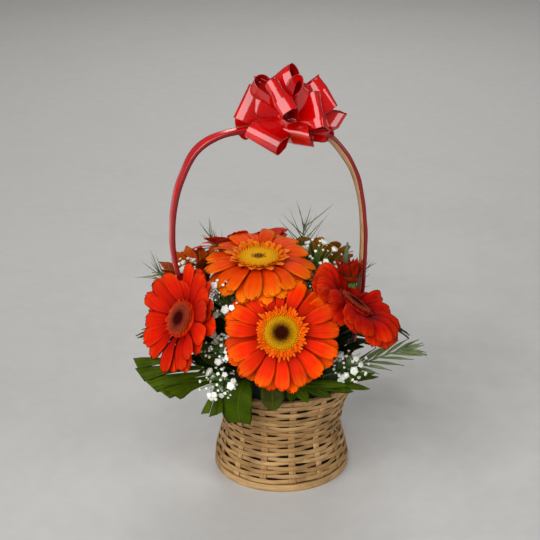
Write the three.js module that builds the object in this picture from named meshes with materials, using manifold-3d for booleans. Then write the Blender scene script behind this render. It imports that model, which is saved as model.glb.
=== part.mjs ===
// Flower basket: gerberas and greenery stuck in floral foam, in a waisted woven bamboo basket
// whose tall handle is covered with satin ribbon and carries a ribbon bow.
// Millimetres, +Z up. The origin is the centre of the basket's flat base, the handle stands in
// the XZ plane and the front of the arrangement faces -Y.

import * as THREE from 'three';
import { mergeVertices } from 'three/addons/utils/BufferGeometryUtils.js';
import Module from 'manifold-3d';

const wasm = await Module();
wasm.setup();

// Clearance between pieces that touch
const GAP = 0.3;

// Basket body: radius of the weave at heights above the table
const BASKET_HEIGHT = 100;
const BASKET_PROFILE = [
  [0, 65.4], [8, 65.6], [14, 64.5], [26, 61.5], [38, 58.6],
  [46, 56.5], [63, 60.5], [81, 66], [100, 71.5],
];
const WAIST_HEIGHT = 46;
const WALL = 4;
const HOOP_HEIGHT = 7;
const RIM_HEIGHT = 5;
const BASE_THICKNESS = 4;
const WEAVE_ROWS = 9;
const WEAVE_STAKES = 18;
const WEAVE_RELIEF = 1.1;
const LINER_INSET = 9;
const LINER_THICKNESS = 0.8;
const LINER_TOP = 97;
const FOAM_TOP = 122;
const BASKET_SIDES = 36;
const FOAM_SIDES = 16;

// Handle: bamboo strip, ribbon over its outer face and both edges
const STRIP_WIDTH = 12.5;
const STRIP_THICKNESS = 3;
const RIBBON_THICKNESS = 0.8;
const RIBBON_START = 104;
const STRIP_STATIONS = 27;
const HANDLE_INSET = 1.2;
const HANDLE_LEFT = [
  [-87, 176], [-95.5, 200], [-101.1, 222], [-102.8, 246], [-100.5, 275], [-93.6, 301],
  [-79, 328], [-59, 340.5],
];
const HANDLE_TOP = [[-38, 344.2], [-12, 344.6], [14, 342.2]];
const HANDLE_RIGHT = [
  [40.1, 334], [56.3, 316.6], [68, 295], [75, 268], [78, 240], [78.3, 210], [76, 170],
];

// Bow: loops by direction (azimuth, elevation), length, bulge, ribbon width and roll
const BOW_CENTRE = [5, -5, 353];
const BOW_RIBBON = 30;
const BOW_AXIS = [-0.1, -0.62, 0.78];
const BOW_LOOPS = [
  { toward: [110, 82], length: 48, bulge: 12, roll: 10 },
  { toward: [-160, 44], length: 46, bulge: 12, roll: -15 },
  { toward: [-172, 6], length: 46, bulge: 12, roll: 25 },
  { toward: [-105, 48], length: 38, bulge: 12, roll: 40 },
  { toward: [-25, 42], length: 46, bulge: 12, roll: 15 },
  { toward: [-48, 2], length: 36, bulge: 12, roll: -25 },
  { toward: [4, 6], length: 45, bulge: 12, roll: 10 },
  { toward: [-128, -32], length: 37, bulge: 11, roll: 10 },
  { toward: [-72, -26], length: 34, bulge: 10, roll: 0 },
  { toward: [145, 30], length: 42, bulge: 12, roll: 0 },
  { toward: [70, 34], length: 42, bulge: 12, roll: 0 },
];

// All stems point at one spot in the foam and stop short of it
const STEM_FOCUS = [0, 0, 70];
const BLOOM_DEPTH = 22;
const GREEN_DEPTH = 33;
const SPRAY_DEPTH = 40;
const SHANK_END = 73;

// Gerberas: centre of the disc, direction that it faces, radius to the petal tips, petals in
// each of two layers, rise of the petals off the disc plane, curl and sag toward the tips
const GERBERAS = [
  {
    name: 'gerbera_top', at: [-23, -13, 224], facing: [-102, 84], reach: 51, petals: 12,
    rise: 9, curl: 26, sag: 5, petal: 0xf2600e, disc: 0xe8b21c,
  },
  {
    name: 'gerbera_front', at: [-18, -79, 177], facing: [-101, 33], reach: 53, petals: 13,
    rise: 9, curl: 12, sag: 0, petal: 0xee4a0c, disc: 0x7a4a18,
  },
  {
    name: 'gerbera_right', at: [58, -50, 186], facing: [2, 52], reach: 50, petals: 11,
    rise: 14, curl: 22, sag: 4, petal: 0xc81a06, disc: 0x5a140a,
  },
  {
    name: 'gerbera_left', at: [-102, -29, 176], facing: [-160, 30], reach: 51, petals: 11,
    rise: 19, curl: 6, sag: 0, petal: 0xe0300a, disc: 0x7c2a10,
  },
  {
    name: 'gerbera_back_left', at: [-73, 50, 182], facing: [150, 70], reach: 44, petals: 9,
    rise: 48, curl: 22, sag: 1, petal: 0xb8480e, disc: 0x8a5a14,
  },
  {
    name: 'gerbera_back_mid', at: [-24, 68, 204], facing: [105, 70], reach: 47, petals: 9,
    rise: 26, curl: 26, sag: 2, petal: 0xd63410, disc: 0xb4801a,
  },
  {
    name: 'gerbera_back_right', at: [46, 40, 192], facing: [66, 52], reach: 38, petals: 9,
    rise: 46, curl: 20, sag: 1, petal: 0xb85c14, disc: 0x8a5a14,
  },
  {
    name: 'gerbera_back_low', at: [12, 92, 150], facing: [82, 26], reach: 44, petals: 9,
    rise: 12, curl: 22, sag: 3, petal: 0xe8500e, disc: 0xa06a18,
  },
];
const PETAL_SPANS = [0, 0.62, 1];
const PETAL_WIDTHS = [0.26, 1, 0.5];
const PETAL_WIDEST_AT = 0.74;
const PETAL_SHARE = 0.76;
const PETAL_CROWN = 1.1;
const PETAL_ROOT = 0.3;
const HUB_RADIUS = 0.35;
const HUB_THICKNESS = 6.5;
const LAYER_HEIGHTS = [-2.9, -4.9];
const BLOOM_STEM = 2.7;
const DISC_SIDES = 16;
const BENDS = [0, -10, 10, -20, 20, -32, 32, -45, 45, -60];
const SHORTENED = [1, 0.85, 0.7];

const BLADE = 0.9;
const FLORET = 3.9;
const STALK = 0.5;
// A new petal, leaflet, needle or floret keeps this far from every other plant
const PETAL_ROOM = 0.7;
const LEAF_ROOM = 0.45;
const NEEDLE = 0.65;

// Broad leaves: path of the midrib after the foam, direction of the upper face, petiole radius
const BROAD_LEAVES = [
  {
    name: 'leaf_rim_front', path: [[-47, -56, 120], [-54, -68, 116], [-57, -72, 102], [-55, -69, 84]],
    face: [-0.5, -0.8, 0.4], stem: 1.3, width: 29, teeth: 3, cup: 0.15, colour: 0x3c8c30,
  },
  {
    name: 'leaf_rim_middle', path: [[-24, -66, 120], [-26, -76, 118], [-26, -79, 110], [-26, -79, 99]],
    face: [-0.1, -0.9, 0.5], stem: 1.3, width: 20, teeth: 2, cup: 0.15, colour: 0x2f7a2c,
  },
  {
    name: 'leaf_left_dark', path: [[-66, -36, 130], [-78, -41, 144], [-88, -48, 156]],
    face: [-0.2, -0.85, 0.5], stem: 1.3, width: 17, teeth: 3, cup: 0.2, colour: 0x3d4f1e,
  },
  {
    name: 'leaf_right_grey', path: [[52, -2, 150], [60, 0, 195], [63, -1, 226]],
    face: [-0.2, -0.9, 0.3], stem: 1.2, width: 6, teeth: 2, cup: 0.2, colour: 0x7d9078,
  },
  {
    name: 'leaf_back_right', path: [[62, 50, 120], [80, 64, 124], [92, 74, 110]],
    face: [0.4, 0.3, 0.85], stem: 1.3, width: 30, teeth: 3, cup: 0.15, colour: 0x2b6d2a,
  },
  {
    name: 'leaf_back_left', path: [[-40, 66, 120], [-50, 84, 122], [-56, 92, 104]],
    face: [-0.3, 0.6, 0.75], stem: 1.3, width: 30, teeth: 3, cup: 0.15, colour: 0x2b6d2a,
  },
];

// Fan leaves: path of the rib, then blades by their place on the rib, far end and end width.
// Those of the left leaf were trimmed straight across.
const FANS = [
  {
    name: 'fan_left', path: [[-70, -46, 116], [-84, -45, 130], [-98, -40, 140]], rib: 1.6,
    face: [-0.25, -0.5, 0.83], waist: 0.6, colour: 0x3f7f35,
    blades: [
      [0.36, [-104, -61, 113], 24], [0.46, [-124, -49, 115], 16], [0.62, [-134, -38, 119], 15],
      [0.82, [-142, -27, 124], 14], [0.97, [-145, -17, 135], 11], [0.97, [-141, -8, 147], 11],
    ],
  },
  {
    name: 'fan_front_right', path: [[-4, -66, 116], [14, -78, 119], [34, -78, 119]], rib: 1.4,
    face: [0.1, -0.7, 0.7], waist: 1.3, colour: 0x35752e,
    blades: [
      [0.4, [26, -84, 110], 8], [0.6, [48, -79, 110], 6], [0.76, [67, -68, 105], 4],
      [0.97, [77, -62, 113], 4], [0.97, [60, -66, 125], 4], [0.3, [6, -85, 108], 9],
    ],
  },
];
const BLADE_ROOT = 5;

// Fronds: path of the rib after the foam, upper face, rib radius, leaflets and their size
const FRONDS = [
  {
    name: 'twig_right', path: [[50, -56, 122], [66, -64, 131], [95, -61, 137], [108, -61, 138]],
    face: [0.1, -0.5, 0.85], rib: 1.2, leaflets: 11, length: 20, width: 4.2, tip: 0.25,
    spread: 52, droop: 0.12, from: 0.2, colour: 0x5c8348,
  },
  {
    name: 'frond_back_left', path: [[-72, 30, 122], [-94, 42, 130], [-116, 54, 128]],
    face: [-0.3, 0.35, 0.85], rib: 1.5, leaflets: 9, length: 40, width: 10, tip: 0.4,
    spread: 62, droop: 0.25, from: 0.12, colour: 0x35702f,
  },
  {
    name: 'frond_back', path: [[42, 70, 124], [58, 92, 132], [72, 110, 126]],
    face: [0.3, 0.4, 0.85], rib: 1.4, leaflets: 9, length: 36, width: 9, tip: 0.4,
    spread: 60, droop: 0.25, from: 0.12, colour: 0x35702f,
  },
  {
    name: 'frond_right', path: [[78, 12, 122], [100, 16, 130], [118, 18, 124]],
    face: [0.3, 0, 0.95], rib: 1.4, leaflets: 8, length: 34, width: 8, tip: 0.4,
    spread: 60, droop: 0.25, from: 0.12, colour: 0x35702f,
  },
];

// Sprigs of needles and sprays of white florets: path of the stem after the foam
const SPRIGS = [
  {
    name: 'sprig_back_right', path: [[22, 26, 150], [26, 34, 200], [30, 38, 232]],
    needles: 12, length: 34, spread: 55, seed: 3,
  },
  {
    name: 'sprig_left', path: [[-74, 22, 150], [-96, 36, 178], [-112, 44, 192]],
    needles: 9, length: 28, spread: 60, seed: 5,
  },
  {
    name: 'sprig_back_left', path: [[-34, 40, 150], [-44, 63, 194], [-56, 73, 213]],
    needles: 8, length: 24, spread: 45, seed: 7,
  },
  {
    name: 'sprig_right', path: [[58, 13, 140], [78, 17, 176], [84, 16, 190]],
    needles: 7, length: 20, spread: 60, seed: 9,
  },
];
const SPRAYS = [
  { name: 'spray_upper_left', path: [[-42, -20, 150], [-58, -30, 190]], size: 18, florets: 9, seed: 1 },
  { name: 'spray_left_low', path: [[-60, -52, 118], [-70, -64, 124]], size: 14, florets: 6, seed: 13 },
  { name: 'spray_right_low', path: [[36, -54, 118], [46, -70, 130]], size: 14, florets: 6, seed: 17 },
  { name: 'spray_upper_right', path: [[20, -18, 150], [26, -24, 185]], size: 16, florets: 7, seed: 19 },
  { name: 'spray_top_right', path: [[28, 10, 150], [36, 14, 200]], size: 17, florets: 7, seed: 23 },
  { name: 'spray_left_back', path: [[-66, 8, 150], [-82, 16, 186]], size: 13, florets: 6, seed: 29 },
  { name: 'spray_left_gap', path: [[-52, -36, 130], [-66, -50, 150]], size: 13, florets: 6, seed: 31 },
  { name: 'spray_back', path: [[22, 62, 130], [36, 84, 168]], size: 16, florets: 6, seed: 37 },
];

const COLOURS = {
  bamboo: 0xc3a173,
  bambooDark: 0xa9865a,
  liner: 0xb9c4b4,
  foam: 0x2f5a34,
  ribbon: 0xb8101a,
  stem: 0x5f8a3a,
  needle: 0x7d9468,
  floret: 0xf3f2ea,
};

const group = new THREE.Group();
const placed = [];

function vec(x, y, z) {
  return new THREE.Vector3(x, y, z);
}

function toward(azimuth, elevation) {
  const a = THREE.MathUtils.degToRad(azimuth);
  const e = THREE.MathUtils.degToRad(elevation);
  return vec(Math.cos(a) * Math.cos(e), Math.sin(a) * Math.cos(e), Math.sin(e));
}

function offset(point, ...steps) {
  const result = point.clone();
  for (const [direction, length] of steps) {
    result.addScaledVector(direction, length);
  }
  return result;
}

function seeded(seed) {
  let state = seed;
  return () => {
    state = (state * 1664525 + 1013904223) % 4294967296;
    return state / 4294967296;
  };
}

// Triangles over the end of a skin: a fan, or for a hollow section the triangles of its outline
function capTriangles(count, section) {
  if (!section) {
    return Array.from({ length: count - 2 }, (_, j) => [0, j + 1, j + 2]);
  }
  const turn = Math.sign(THREE.ShapeUtils.area(section));
  return THREE.ShapeUtils.triangulateShape(section, []).map(([a, b, c]) => {
    const own = THREE.ShapeUtils.area([section[a], section[b], section[c]]);
    return Math.sign(own) === turn ? [a, b, c] : [a, c, b];
  });
}

// A closed skin over rings of points: a ring of one point is an apex, a loop joins its ends
function skin(rings, { loop = false, section = null, alike = false } = {}) {
  const starts = [];
  const positions = [];
  for (const ring of rings) {
    starts.push(positions.length / 3);
    ring.forEach((point) => positions.push(point.x, point.y, point.z));
  }
  const index = [];
  const spans = loop ? rings.length : rings.length - 1;
  for (let i = 0; i < spans; i += 1) {
    const next = (i + 1) % rings.length;
    const sides = Math.max(rings[i].length, rings[next].length);
    for (let j = 0; j < sides; j += 1) {
      const k = (j + 1) % sides;
      const near = (m) => starts[i] + (rings[i].length > 1 ? m : 0);
      const far = (m) => starts[next] + (rings[next].length > 1 ? m : 0);
      const other = alike && j >= sides / 2;
      if (rings[i].length > 1) {
        index.push(near(j), near(k), far(other ? j : k));
      }
      if (rings[next].length > 1) {
        index.push(near(other ? k : j), far(k), far(j));
      }
    }
  }
  if (!loop) {
    const last = rings.length - 1;
    if (rings[0].length > 1) {
      capTriangles(rings[0].length, section).forEach(([a, b, c]) => index.push(a, c, b));
    }
    if (rings[last].length > 1) {
      const start = starts[last];
      capTriangles(rings[last].length, section)
        .forEach(([a, b, c]) => index.push(start + a, start + b, start + c));
    }
  }
  const geometry = new THREE.BufferGeometry();
  geometry.setAttribute('position', new THREE.Float32BufferAttribute(positions, 3));
  geometry.setIndex(insideOut(positions, index) ? index.slice().reverse() : index);
  return geometry;
}

function insideOut(positions, index) {
  const corner = (i) => vec(...positions.slice(3 * i, 3 * i + 3));
  let volume = 0;
  for (let i = 0; i < index.length; i += 3) {
    const [a, b, c] = [corner(index[i]), corner(index[i + 1]), corner(index[i + 2])];
    volume += a.dot(b.cross(c));
  }
  return volume < 0;
}

function solid(geometry) {
  const merged = mergeVertices(geometry, 1e-4);
  return new wasm.Manifold(new wasm.Mesh({
    numProp: 3,
    vertProperties: new Float32Array(merged.attributes.position.array),
    triVerts: new Uint32Array(merged.index.array),
  }));
}

function fused(solids) {
  let parts = solids;
  while (parts.length > 1) {
    const pairs = [];
    for (let i = 0; i < parts.length; i += 2) {
      pairs.push(i + 1 < parts.length ? parts[i].add(parts[i + 1]) : parts[i]);
    }
    parts = pairs;
  }
  return parts[0];
}

function geometryOf(body) {
  const mesh = body.getMesh();
  const geometry = new THREE.BufferGeometry();
  geometry.setAttribute('position', new THREE.BufferAttribute(mesh.vertProperties, 3));
  geometry.setIndex(new THREE.BufferAttribute(mesh.triVerts, 1));
  geometry.computeVertexNormals();
  return geometry;
}

// Only the largest piece is kept where a cut or a join leaves a loose scrap
function largest(body) {
  const pieces = body.decompose();
  return pieces.sort((a, b) => b.volume() - a.volume())[0];
}

// What is in the way: a piece of the same plant is no obstacle to its own petals and leaflets
function reserve(body, plant = null) {
  placed.push({ body, plant });
}

function place(name, body, colour, { roughness = 0.7, metalness = 0, plant = null } = {}) {
  const whole = largest(body);
  const material = new THREE.MeshStandardMaterial({ color: colour, roughness, metalness });
  const mesh = new THREE.Mesh(geometryOf(whole), material);
  mesh.name = name;
  group.add(mesh);
  reserve(whole, plant);
}

function clear(probe, plant) {
  return placed.every((other) => other.plant === plant || probe.intersect(other.body).isEmpty());
}

function circle(centre, across, along, radius, sides) {
  return Array.from({ length: sides }, (_, j) => {
    const angle = (2 * Math.PI * j) / sides;
    return offset(centre, [across, radius * Math.cos(angle)], [along, radius * Math.sin(angle)]);
  });
}

// Level circles round the Z axis; a radius of 0 is an apex on it
function turned(profile, sides, loop = false) {
  const rings = profile.map(([radius, z]) => (
    radius === 0 ? [vec(0, 0, z)] : circle(vec(0, 0, z), vec(1, 0, 0), vec(0, 1, 0), radius, sides)
  ));
  return skin(rings, { loop });
}

// A rod along a path, its ring axes carried from point to point without twist
function rod(points, radii, sides) {
  const tangents = points.map((_, i) => {
    const from = points[Math.max(i - 1, 0)];
    const to = points[Math.min(i + 1, points.length - 1)];
    return to.clone().sub(from).normalize();
  });
  let across = vec(0, 0, 1).cross(tangents[0]);
  if (across.length() < 0.05) {
    across = vec(1, 0, 0);
  }
  const rings = points.map((point, i) => {
    across = across.clone().addScaledVector(tangents[i], -across.dot(tangents[i])).normalize();
    const along = tangents[i].clone().cross(across);
    return circle(point, across, along, radii[i], sides);
  });
  return skin(rings);
}

function basketRadius(z) {
  let i = 1;
  while (i < BASKET_PROFILE.length - 1 && BASKET_PROFILE[i][0] < z) {
    i += 1;
  }
  const [z0, r0] = BASKET_PROFILE[i - 1];
  const [z1, r1] = BASKET_PROFILE[i];
  return r0 + ((r1 - r0) * (z - z0)) / (z1 - z0);
}

// Woven wall: rows of weavers that pass by turns outside and inside the stakes
function wovenWall() {
  const bottom = HOOP_HEIGHT + GAP;
  const top = BASKET_HEIGHT - RIM_HEIGHT - GAP;
  const rowHeight = (top - bottom) / WEAVE_ROWS;
  const ring = (z, radiusAt) => Array.from({ length: BASKET_SIDES }, (_, j) => {
    const angle = (2 * Math.PI * j) / BASKET_SIDES;
    const radius = radiusAt(j);
    return vec(radius * Math.cos(angle), radius * Math.sin(angle), z);
  });
  const rings = [];
  for (let row = 0; row < WEAVE_ROWS; row += 1) {
    const foot = bottom + row * rowHeight;
    const middle = foot + rowHeight / 2;
    rings.push(ring(foot, () => basketRadius(foot) - WEAVE_RELIEF));
    rings.push(ring(middle, (j) => {
      const outside = (Math.floor((j * WEAVE_STAKES) / BASKET_SIDES) + row) % 2 === 0;
      return basketRadius(middle) + (j % 2 ? 0 : 1) * (outside ? WEAVE_RELIEF : -WEAVE_RELIEF);
    }));
  }
  rings.push(ring(top, () => basketRadius(top) - WEAVE_RELIEF));
  for (const z of [top, 63, WAIST_HEIGHT, bottom]) {
    rings.push(ring(z, () => basketRadius(z) - WALL));
  }
  return skin(rings, { loop: true });
}

function basket() {
  const hoopInner = basketRadius(0) - WALL - 0.5;
  place('basket_base', solid(turned([
    [0, 0], [hoopInner - GAP, 0], [hoopInner - GAP, BASE_THICKNESS], [0, BASE_THICKNESS],
  ], BASKET_SIDES)), COLOURS.bambooDark);
  place('basket_foot_hoop', solid(turned([
    [hoopInner, 0], [basketRadius(0) + 0.4, 0], [basketRadius(8), HOOP_HEIGHT],
    [hoopInner, HOOP_HEIGHT],
  ], BASKET_SIDES, true)), COLOURS.bamboo);
  place('basket_wall', solid(wovenWall()), COLOURS.bamboo);
  const rimFoot = BASKET_HEIGHT - RIM_HEIGHT;
  const rimInner = basketRadius(rimFoot) - WALL;
  place('basket_rim', solid(turned([
    [rimInner, rimFoot], [basketRadius(rimFoot) + 0.6, rimFoot],
    [basketRadius(BASKET_HEIGHT) + 0.8, BASKET_HEIGHT], [rimInner + 1.6, BASKET_HEIGHT],
  ], BASKET_SIDES, true)), COLOURS.bamboo);
}

function linerProfile(inset, bottom, top) {
  const levels = [bottom, WAIST_HEIGHT, 63, top];
  return levels.map((z) => [basketRadius(z) - inset, z]);
}

function liner() {
  const bottom = BASE_THICKNESS + GAP;
  const outer = linerProfile(LINER_INSET, bottom, LINER_TOP);
  const inner = linerProfile(LINER_INSET + LINER_THICKNESS, bottom + LINER_THICKNESS, LINER_TOP);
  place('liner', solid(turned([
    [0, bottom], ...outer, ...inner.reverse(), [0, bottom + LINER_THICKNESS],
  ], FOAM_SIDES)), COLOURS.liner, { roughness: 0.4 });
}

function shankDirection(at) {
  return vec(...at).sub(vec(...STEM_FOCUS)).normalize();
}

function shank(direction, depth, radius, sides) {
  const focus = vec(...STEM_FOCUS);
  const points = [offset(focus, [direction, depth]), offset(focus, [direction, SHANK_END])];
  return rod(points, [radius, radius], sides);
}

// Holes wanted in the foam, filled in as the stems are made
const holes = [];

// A stem that leaves the foam straight and then runs through the points given
function stemmed(direction, depth, radius, sides, points, radii) {
  const focus = vec(...STEM_FOCUS);
  const room = radius + GAP / Math.cos(Math.PI / sides);
  holes.push(solid(shank(direction, depth - GAP, room, sides)));
  const path = [offset(focus, [direction, depth]), offset(focus, [direction, SHANK_END]), ...points];
  return solid(rod(path, [radius, radius, ...radii], sides));
}

function foam() {
  const bottom = BASE_THICKNESS + LINER_THICKNESS + 2 * GAP;
  const sides = linerProfile(LINER_INSET + LINER_THICKNESS + GAP, bottom, BASKET_HEIGHT);
  const dome = [[58, 107], [47, 115], [28, 120.5], [0, FOAM_TOP]];
  const filling = solid(turned([[0, bottom], ...sides, ...dome], FOAM_SIDES));
  place('floral_foam', holes.reduce((rest, hole) => rest.subtract(hole), filling), COLOURS.foam,
    { roughness: 0.95 });
}

function handleFrames() {
  const seat = (z) => basketRadius(z) - WALL - HANDLE_INSET - STRIP_THICKNESS / 2;
  const feet = [WAIST_HEIGHT, 63, 81, 100];
  const points = [
    ...feet.map((z) => [-seat(z), z]), ...HANDLE_LEFT, ...HANDLE_TOP, ...HANDLE_RIGHT,
    ...feet.reverse().map((z) => [seat(z), z]),
  ];
  const curve = new THREE.CatmullRomCurve3(points.map(([x, z]) => vec(x, 0, z)));
  return Array.from({ length: STRIP_STATIONS + 1 }, (_, i) => {
    const at = curve.getPointAt(i / STRIP_STATIONS);
    const tangent = curve.getTangentAt(i / STRIP_STATIONS);
    return { at, out: vec(-tangent.z, 0, tangent.x) };
  });
}

// A section (out from the centreline, along Y) carried along the handle
function alongHandle(frames, section) {
  const rings = frames.map(({ at, out }) => (
    section.map(([u, v]) => offset(at, [out, u], [vec(0, 1, 0), v]))
  ));
  return skin(rings, { section: section.map(([u, v]) => new THREE.Vector2(u, v)) });
}

function block(halfThickness, halfWidth) {
  return [
    [-halfThickness, -halfWidth], [halfThickness, -halfWidth],
    [halfThickness, halfWidth], [-halfThickness, halfWidth],
  ];
}

function handle() {
  const frames = handleFrames();
  place('handle_strip', solid(alongHandle(frames, block(STRIP_THICKNESS / 2, STRIP_WIDTH / 2))),
    COLOURS.bamboo);
  const covered = frames.filter(({ at }) => at.z > RIBBON_START);
  const u = STRIP_THICKNESS / 2;
  const v = STRIP_WIDTH / 2 + GAP;
  const outer = u + GAP + RIBBON_THICKNESS;
  place('handle_ribbon', solid(alongHandle(covered, [
    [-u, -v], [-u, -v - RIBBON_THICKNESS], [outer, -v - RIBBON_THICKNESS],
    [outer, v + RIBBON_THICKNESS], [-u, v + RIBBON_THICKNESS], [-u, v],
    [u + GAP, v], [u + GAP, -v],
  ])), COLOURS.ribbon, { roughness: 0.3 });
  return frames;
}

// One ribbon loop: a teardrop from the knot and back, pinched where it is gathered
function bowLoop({ toward: aim, length, bulge, roll }) {
  const out = toward(...aim);
  const axis = vec(...BOW_AXIS);
  const lift = axis.addScaledVector(out, -axis.dot(out)).normalize()
    .applyAxisAngle(out, THREE.MathUtils.degToRad(roll));
  const across = out.clone().cross(lift);
  const centre = vec(...BOW_CENTRE);
  const steps = 5;
  const rings = Array.from({ length: steps + 1 }, (_, i) => {
    const t = i / steps;
    const swing = 2 * Math.PI * t;
    const at = offset(centre, [out, 3 + length * Math.sin(Math.PI * t)],
      [lift, bulge * Math.sin(swing) + 2.4 * Math.cos(Math.PI * t)]);
    const run = out.clone().multiplyScalar(Math.PI * length * Math.cos(Math.PI * t))
      .addScaledVector(lift, 2 * Math.PI * bulge * Math.cos(swing)).normalize();
    const face = run.clone().cross(across);
    const half = (8 + (BOW_RIBBON - 8) * Math.sin(Math.PI * t) ** 0.8) / 2;
    return [[-1, -1], [1, -1], [1, 1], [-1, 1]].map(([a, b]) => (
      offset(at, [across, a * half], [face, (b * RIBBON_THICKNESS) / 2])
    ));
  });
  return solid(skin(rings));
}

function bow(frames) {
  const centre = vec(...BOW_CENTRE);
  const seat = frames.reduce((best, frame) => (
    Math.abs(frame.at.x - centre.x) < Math.abs(best.at.x - centre.x) && frame.at.z > 300
      ? frame : best
  ), { at: vec(-999, 0, 0) });
  const along = vec(seat.out.z, 0, -seat.out.x);
  const tie = [-7, 7].map((x) => {
    const at = offset(seat.at, [along, x]);
    return block(STRIP_THICKNESS / 2 + 3, STRIP_WIDTH / 2 + 2.6).map(([u, v]) => (
      offset(at, [seat.out, u], [vec(0, 1, 0), v])
    ));
  });
  const knot = rod([-8, -4, 4, 9].map((z) => offset(centre, [vec(0, 0, 1), z])), [7, 12, 12, 6], 8);
  const whole = fused([...BOW_LOOPS.map(bowLoop), solid(knot), solid(skin(tie))]);
  const room = solid(alongHandle(frames.filter(({ at }) => at.z > 230), block(
    STRIP_THICKNESS / 2 + RIBBON_THICKNESS + 2 * GAP,
    STRIP_WIDTH / 2 + RIBBON_THICKNESS + 2 * GAP,
  )));
  place('bow', whole.subtract(room), COLOURS.ribbon, { roughness: 0.25 });
}

// Place on a petal's midline: the rise falls off steadily toward the tip, and the sag grows
// with the square of the distance. Returns the point and the petal's upper side.
function petalLine(bloom, axes, angle, layer, bend, shorten, s) {
  const { normal, across, along } = axes;
  const out = offset(vec(0, 0, 0), [across, Math.cos(angle)], [along, Math.sin(angle)]);
  const root = PETAL_ROOT * bloom.reach;
  const length = (bloom.reach - root) * shorten;
  const start = THREE.MathUtils.degToRad(bloom.rise - 6 * layer);
  const fall = THREE.MathUtils.degToRad(bloom.curl - bend);
  const slope = start - fall * s;
  const run = Math.abs(fall) < 1e-3 ? s * Math.cos(start) : (Math.sin(start) - Math.sin(slope)) / fall;
  const lift = Math.abs(fall) < 1e-3 ? s * Math.sin(start) : (Math.cos(slope) - Math.cos(start)) / fall;
  const point = offset(vec(...bloom.at), [out, root + length * run],
    [normal, length * lift + LAYER_HEIGHTS[layer]], [vec(0, 0, -1), bloom.sag * s * s]);
  const upper = offset(vec(0, 0, 0), [out, -Math.sin(slope)], [normal, Math.cos(slope)]);
  return { point, upper, side: normal.clone().cross(out) };
}

function petal(bloom, axes, angle, layer, bend, shorten, swell) {
  const widest = (2 * Math.PI * PETAL_WIDEST_AT * bloom.reach * PETAL_SHARE) / bloom.petals;
  const rings = PETAL_SPANS.map((s, i) => {
    const { point, upper, side } = petalLine(bloom, axes, angle, layer, bend, shorten, s);
    const half = (widest * PETAL_WIDTHS[i]) / 2 + swell;
    return [offset(point, [side, -half], [upper, -swell]),
      offset(point, [side, half], [upper, -swell]), offset(point, [upper, PETAL_CROWN + swell])];
  });
  return solid(skin(rings));
}

// Each petal takes the first bend, then the first shorter length, that clears its neighbours
function fittedPetal(bloom, axes, angle, layer) {
  for (const shorten of SHORTENED) {
    for (const bend of BENDS) {
      if (clear(petal(bloom, axes, angle, layer, bend, shorten, PETAL_ROOM), bloom.name)) {
        return petal(bloom, axes, angle, layer, bend, shorten, 0);
      }
    }
  }
  return null;
}

function bloomAxes(bloom) {
  const normal = toward(...bloom.facing);
  const across = vec(0, 0, 1).cross(normal).normalize();
  return { normal, across, along: normal.clone().cross(across) };
}

// Ring of points square to the bloom's axis, each at its own share of the reach; a rise lifts
// the points that lie farther out
function level(bloom, axes, height, sides, radiusAt, rise = 0) {
  const centre = offset(vec(...bloom.at), [axes.normal, height]);
  return Array.from({ length: sides }, (_, j) => {
    const angle = (2 * Math.PI * j) / sides;
    const radius = radiusAt(j) * bloom.reach;
    return offset(centre, [axes.across, radius * Math.cos(angle)],
      [axes.along, radius * Math.sin(angle)], [axes.normal, radius * rise]);
  });
}

// Disc with its collar of short toothed florets, which lies just over the petals' roots
function eye(bloom, axes) {
  const rise = Math.tan(THREE.MathUtils.degToRad(bloom.rise));
  const lift = 0.9 - PETAL_ROOT * bloom.reach * rise;
  return solid(skin([
    level(bloom, axes, GAP, DISC_SIDES, () => 0.28),
    level(bloom, axes, lift, DISC_SIDES, (j) => (j % 2 ? 0.38 : 0.52), rise),
    level(bloom, axes, 2.2, DISC_SIDES, () => 0.26),
    level(bloom, axes, 3.4, DISC_SIDES, () => 0.16),
    [offset(vec(...bloom.at), [axes.normal, 2])],
  ]));
}

function hub(bloom, axes) {
  const sides = bloom.petals;
  return solid(skin([
    level(bloom, axes, -HUB_THICKNESS, sides, () => 0.85 * HUB_RADIUS),
    level(bloom, axes, 0, sides, () => HUB_RADIUS),
  ]));
}

// Stem, disc and hub of one gerbera; the petals are fitted when every plant has its stem
function gerbera(bloom) {
  const axes = bloomAxes(bloom);
  const plant = bloom.name;
  const heart = hub(bloom, axes);
  const stemFoot = offset(vec(...bloom.at), [axes.normal, -HUB_THICKNESS - 16]);
  const direction = shankDirection(stemFoot.toArray());
  const from = offset(vec(...STEM_FOCUS), [direction, SHANK_END]);
  const bend = new THREE.CubicBezierCurve3(from, offset(from, [direction, 16]),
    offset(stemFoot, [axes.normal, -20]), stemFoot);
  const girth = HUB_RADIUS * bloom.reach;
  const calyx = [[BLOOM_STEM, -20], [0.34 * girth, -15], [0.7 * girth, -9], [0.78 * girth, -GAP]]
    .map(([r, h]) => [r, h - HUB_THICKNESS]);
  const stem = stemmed(direction, BLOOM_DEPTH, BLOOM_STEM, 5,
    [0.33, 0.66].map((t) => bend.getPoint(t))
      .concat(calyx.map(([, h]) => offset(vec(...bloom.at), [axes.normal, h]))),
    [BLOOM_STEM, BLOOM_STEM, ...calyx.map(([r]) => r)]);
  place(`${plant}_stem`, stem, COLOURS.stem, { plant });
  place(`${plant}_disc`, eye(bloom, axes), bloom.disc, { roughness: 0.9, plant });
  reserve(heart, plant);
  return () => {
    const petals = [];
    for (let layer = 0; layer < 2; layer += 1) {
      for (let i = 0; i < bloom.petals; i += 1) {
        const angle = (2 * Math.PI * (i + layer / 2)) / bloom.petals;
        petals.push(fittedPetal(bloom, axes, angle, layer));
      }
    }
    place(`${plant}_petals`, fused([heart, ...petals.filter(Boolean)]), bloom.petal,
      { roughness: 0.55, plant });
  };
}

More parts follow.
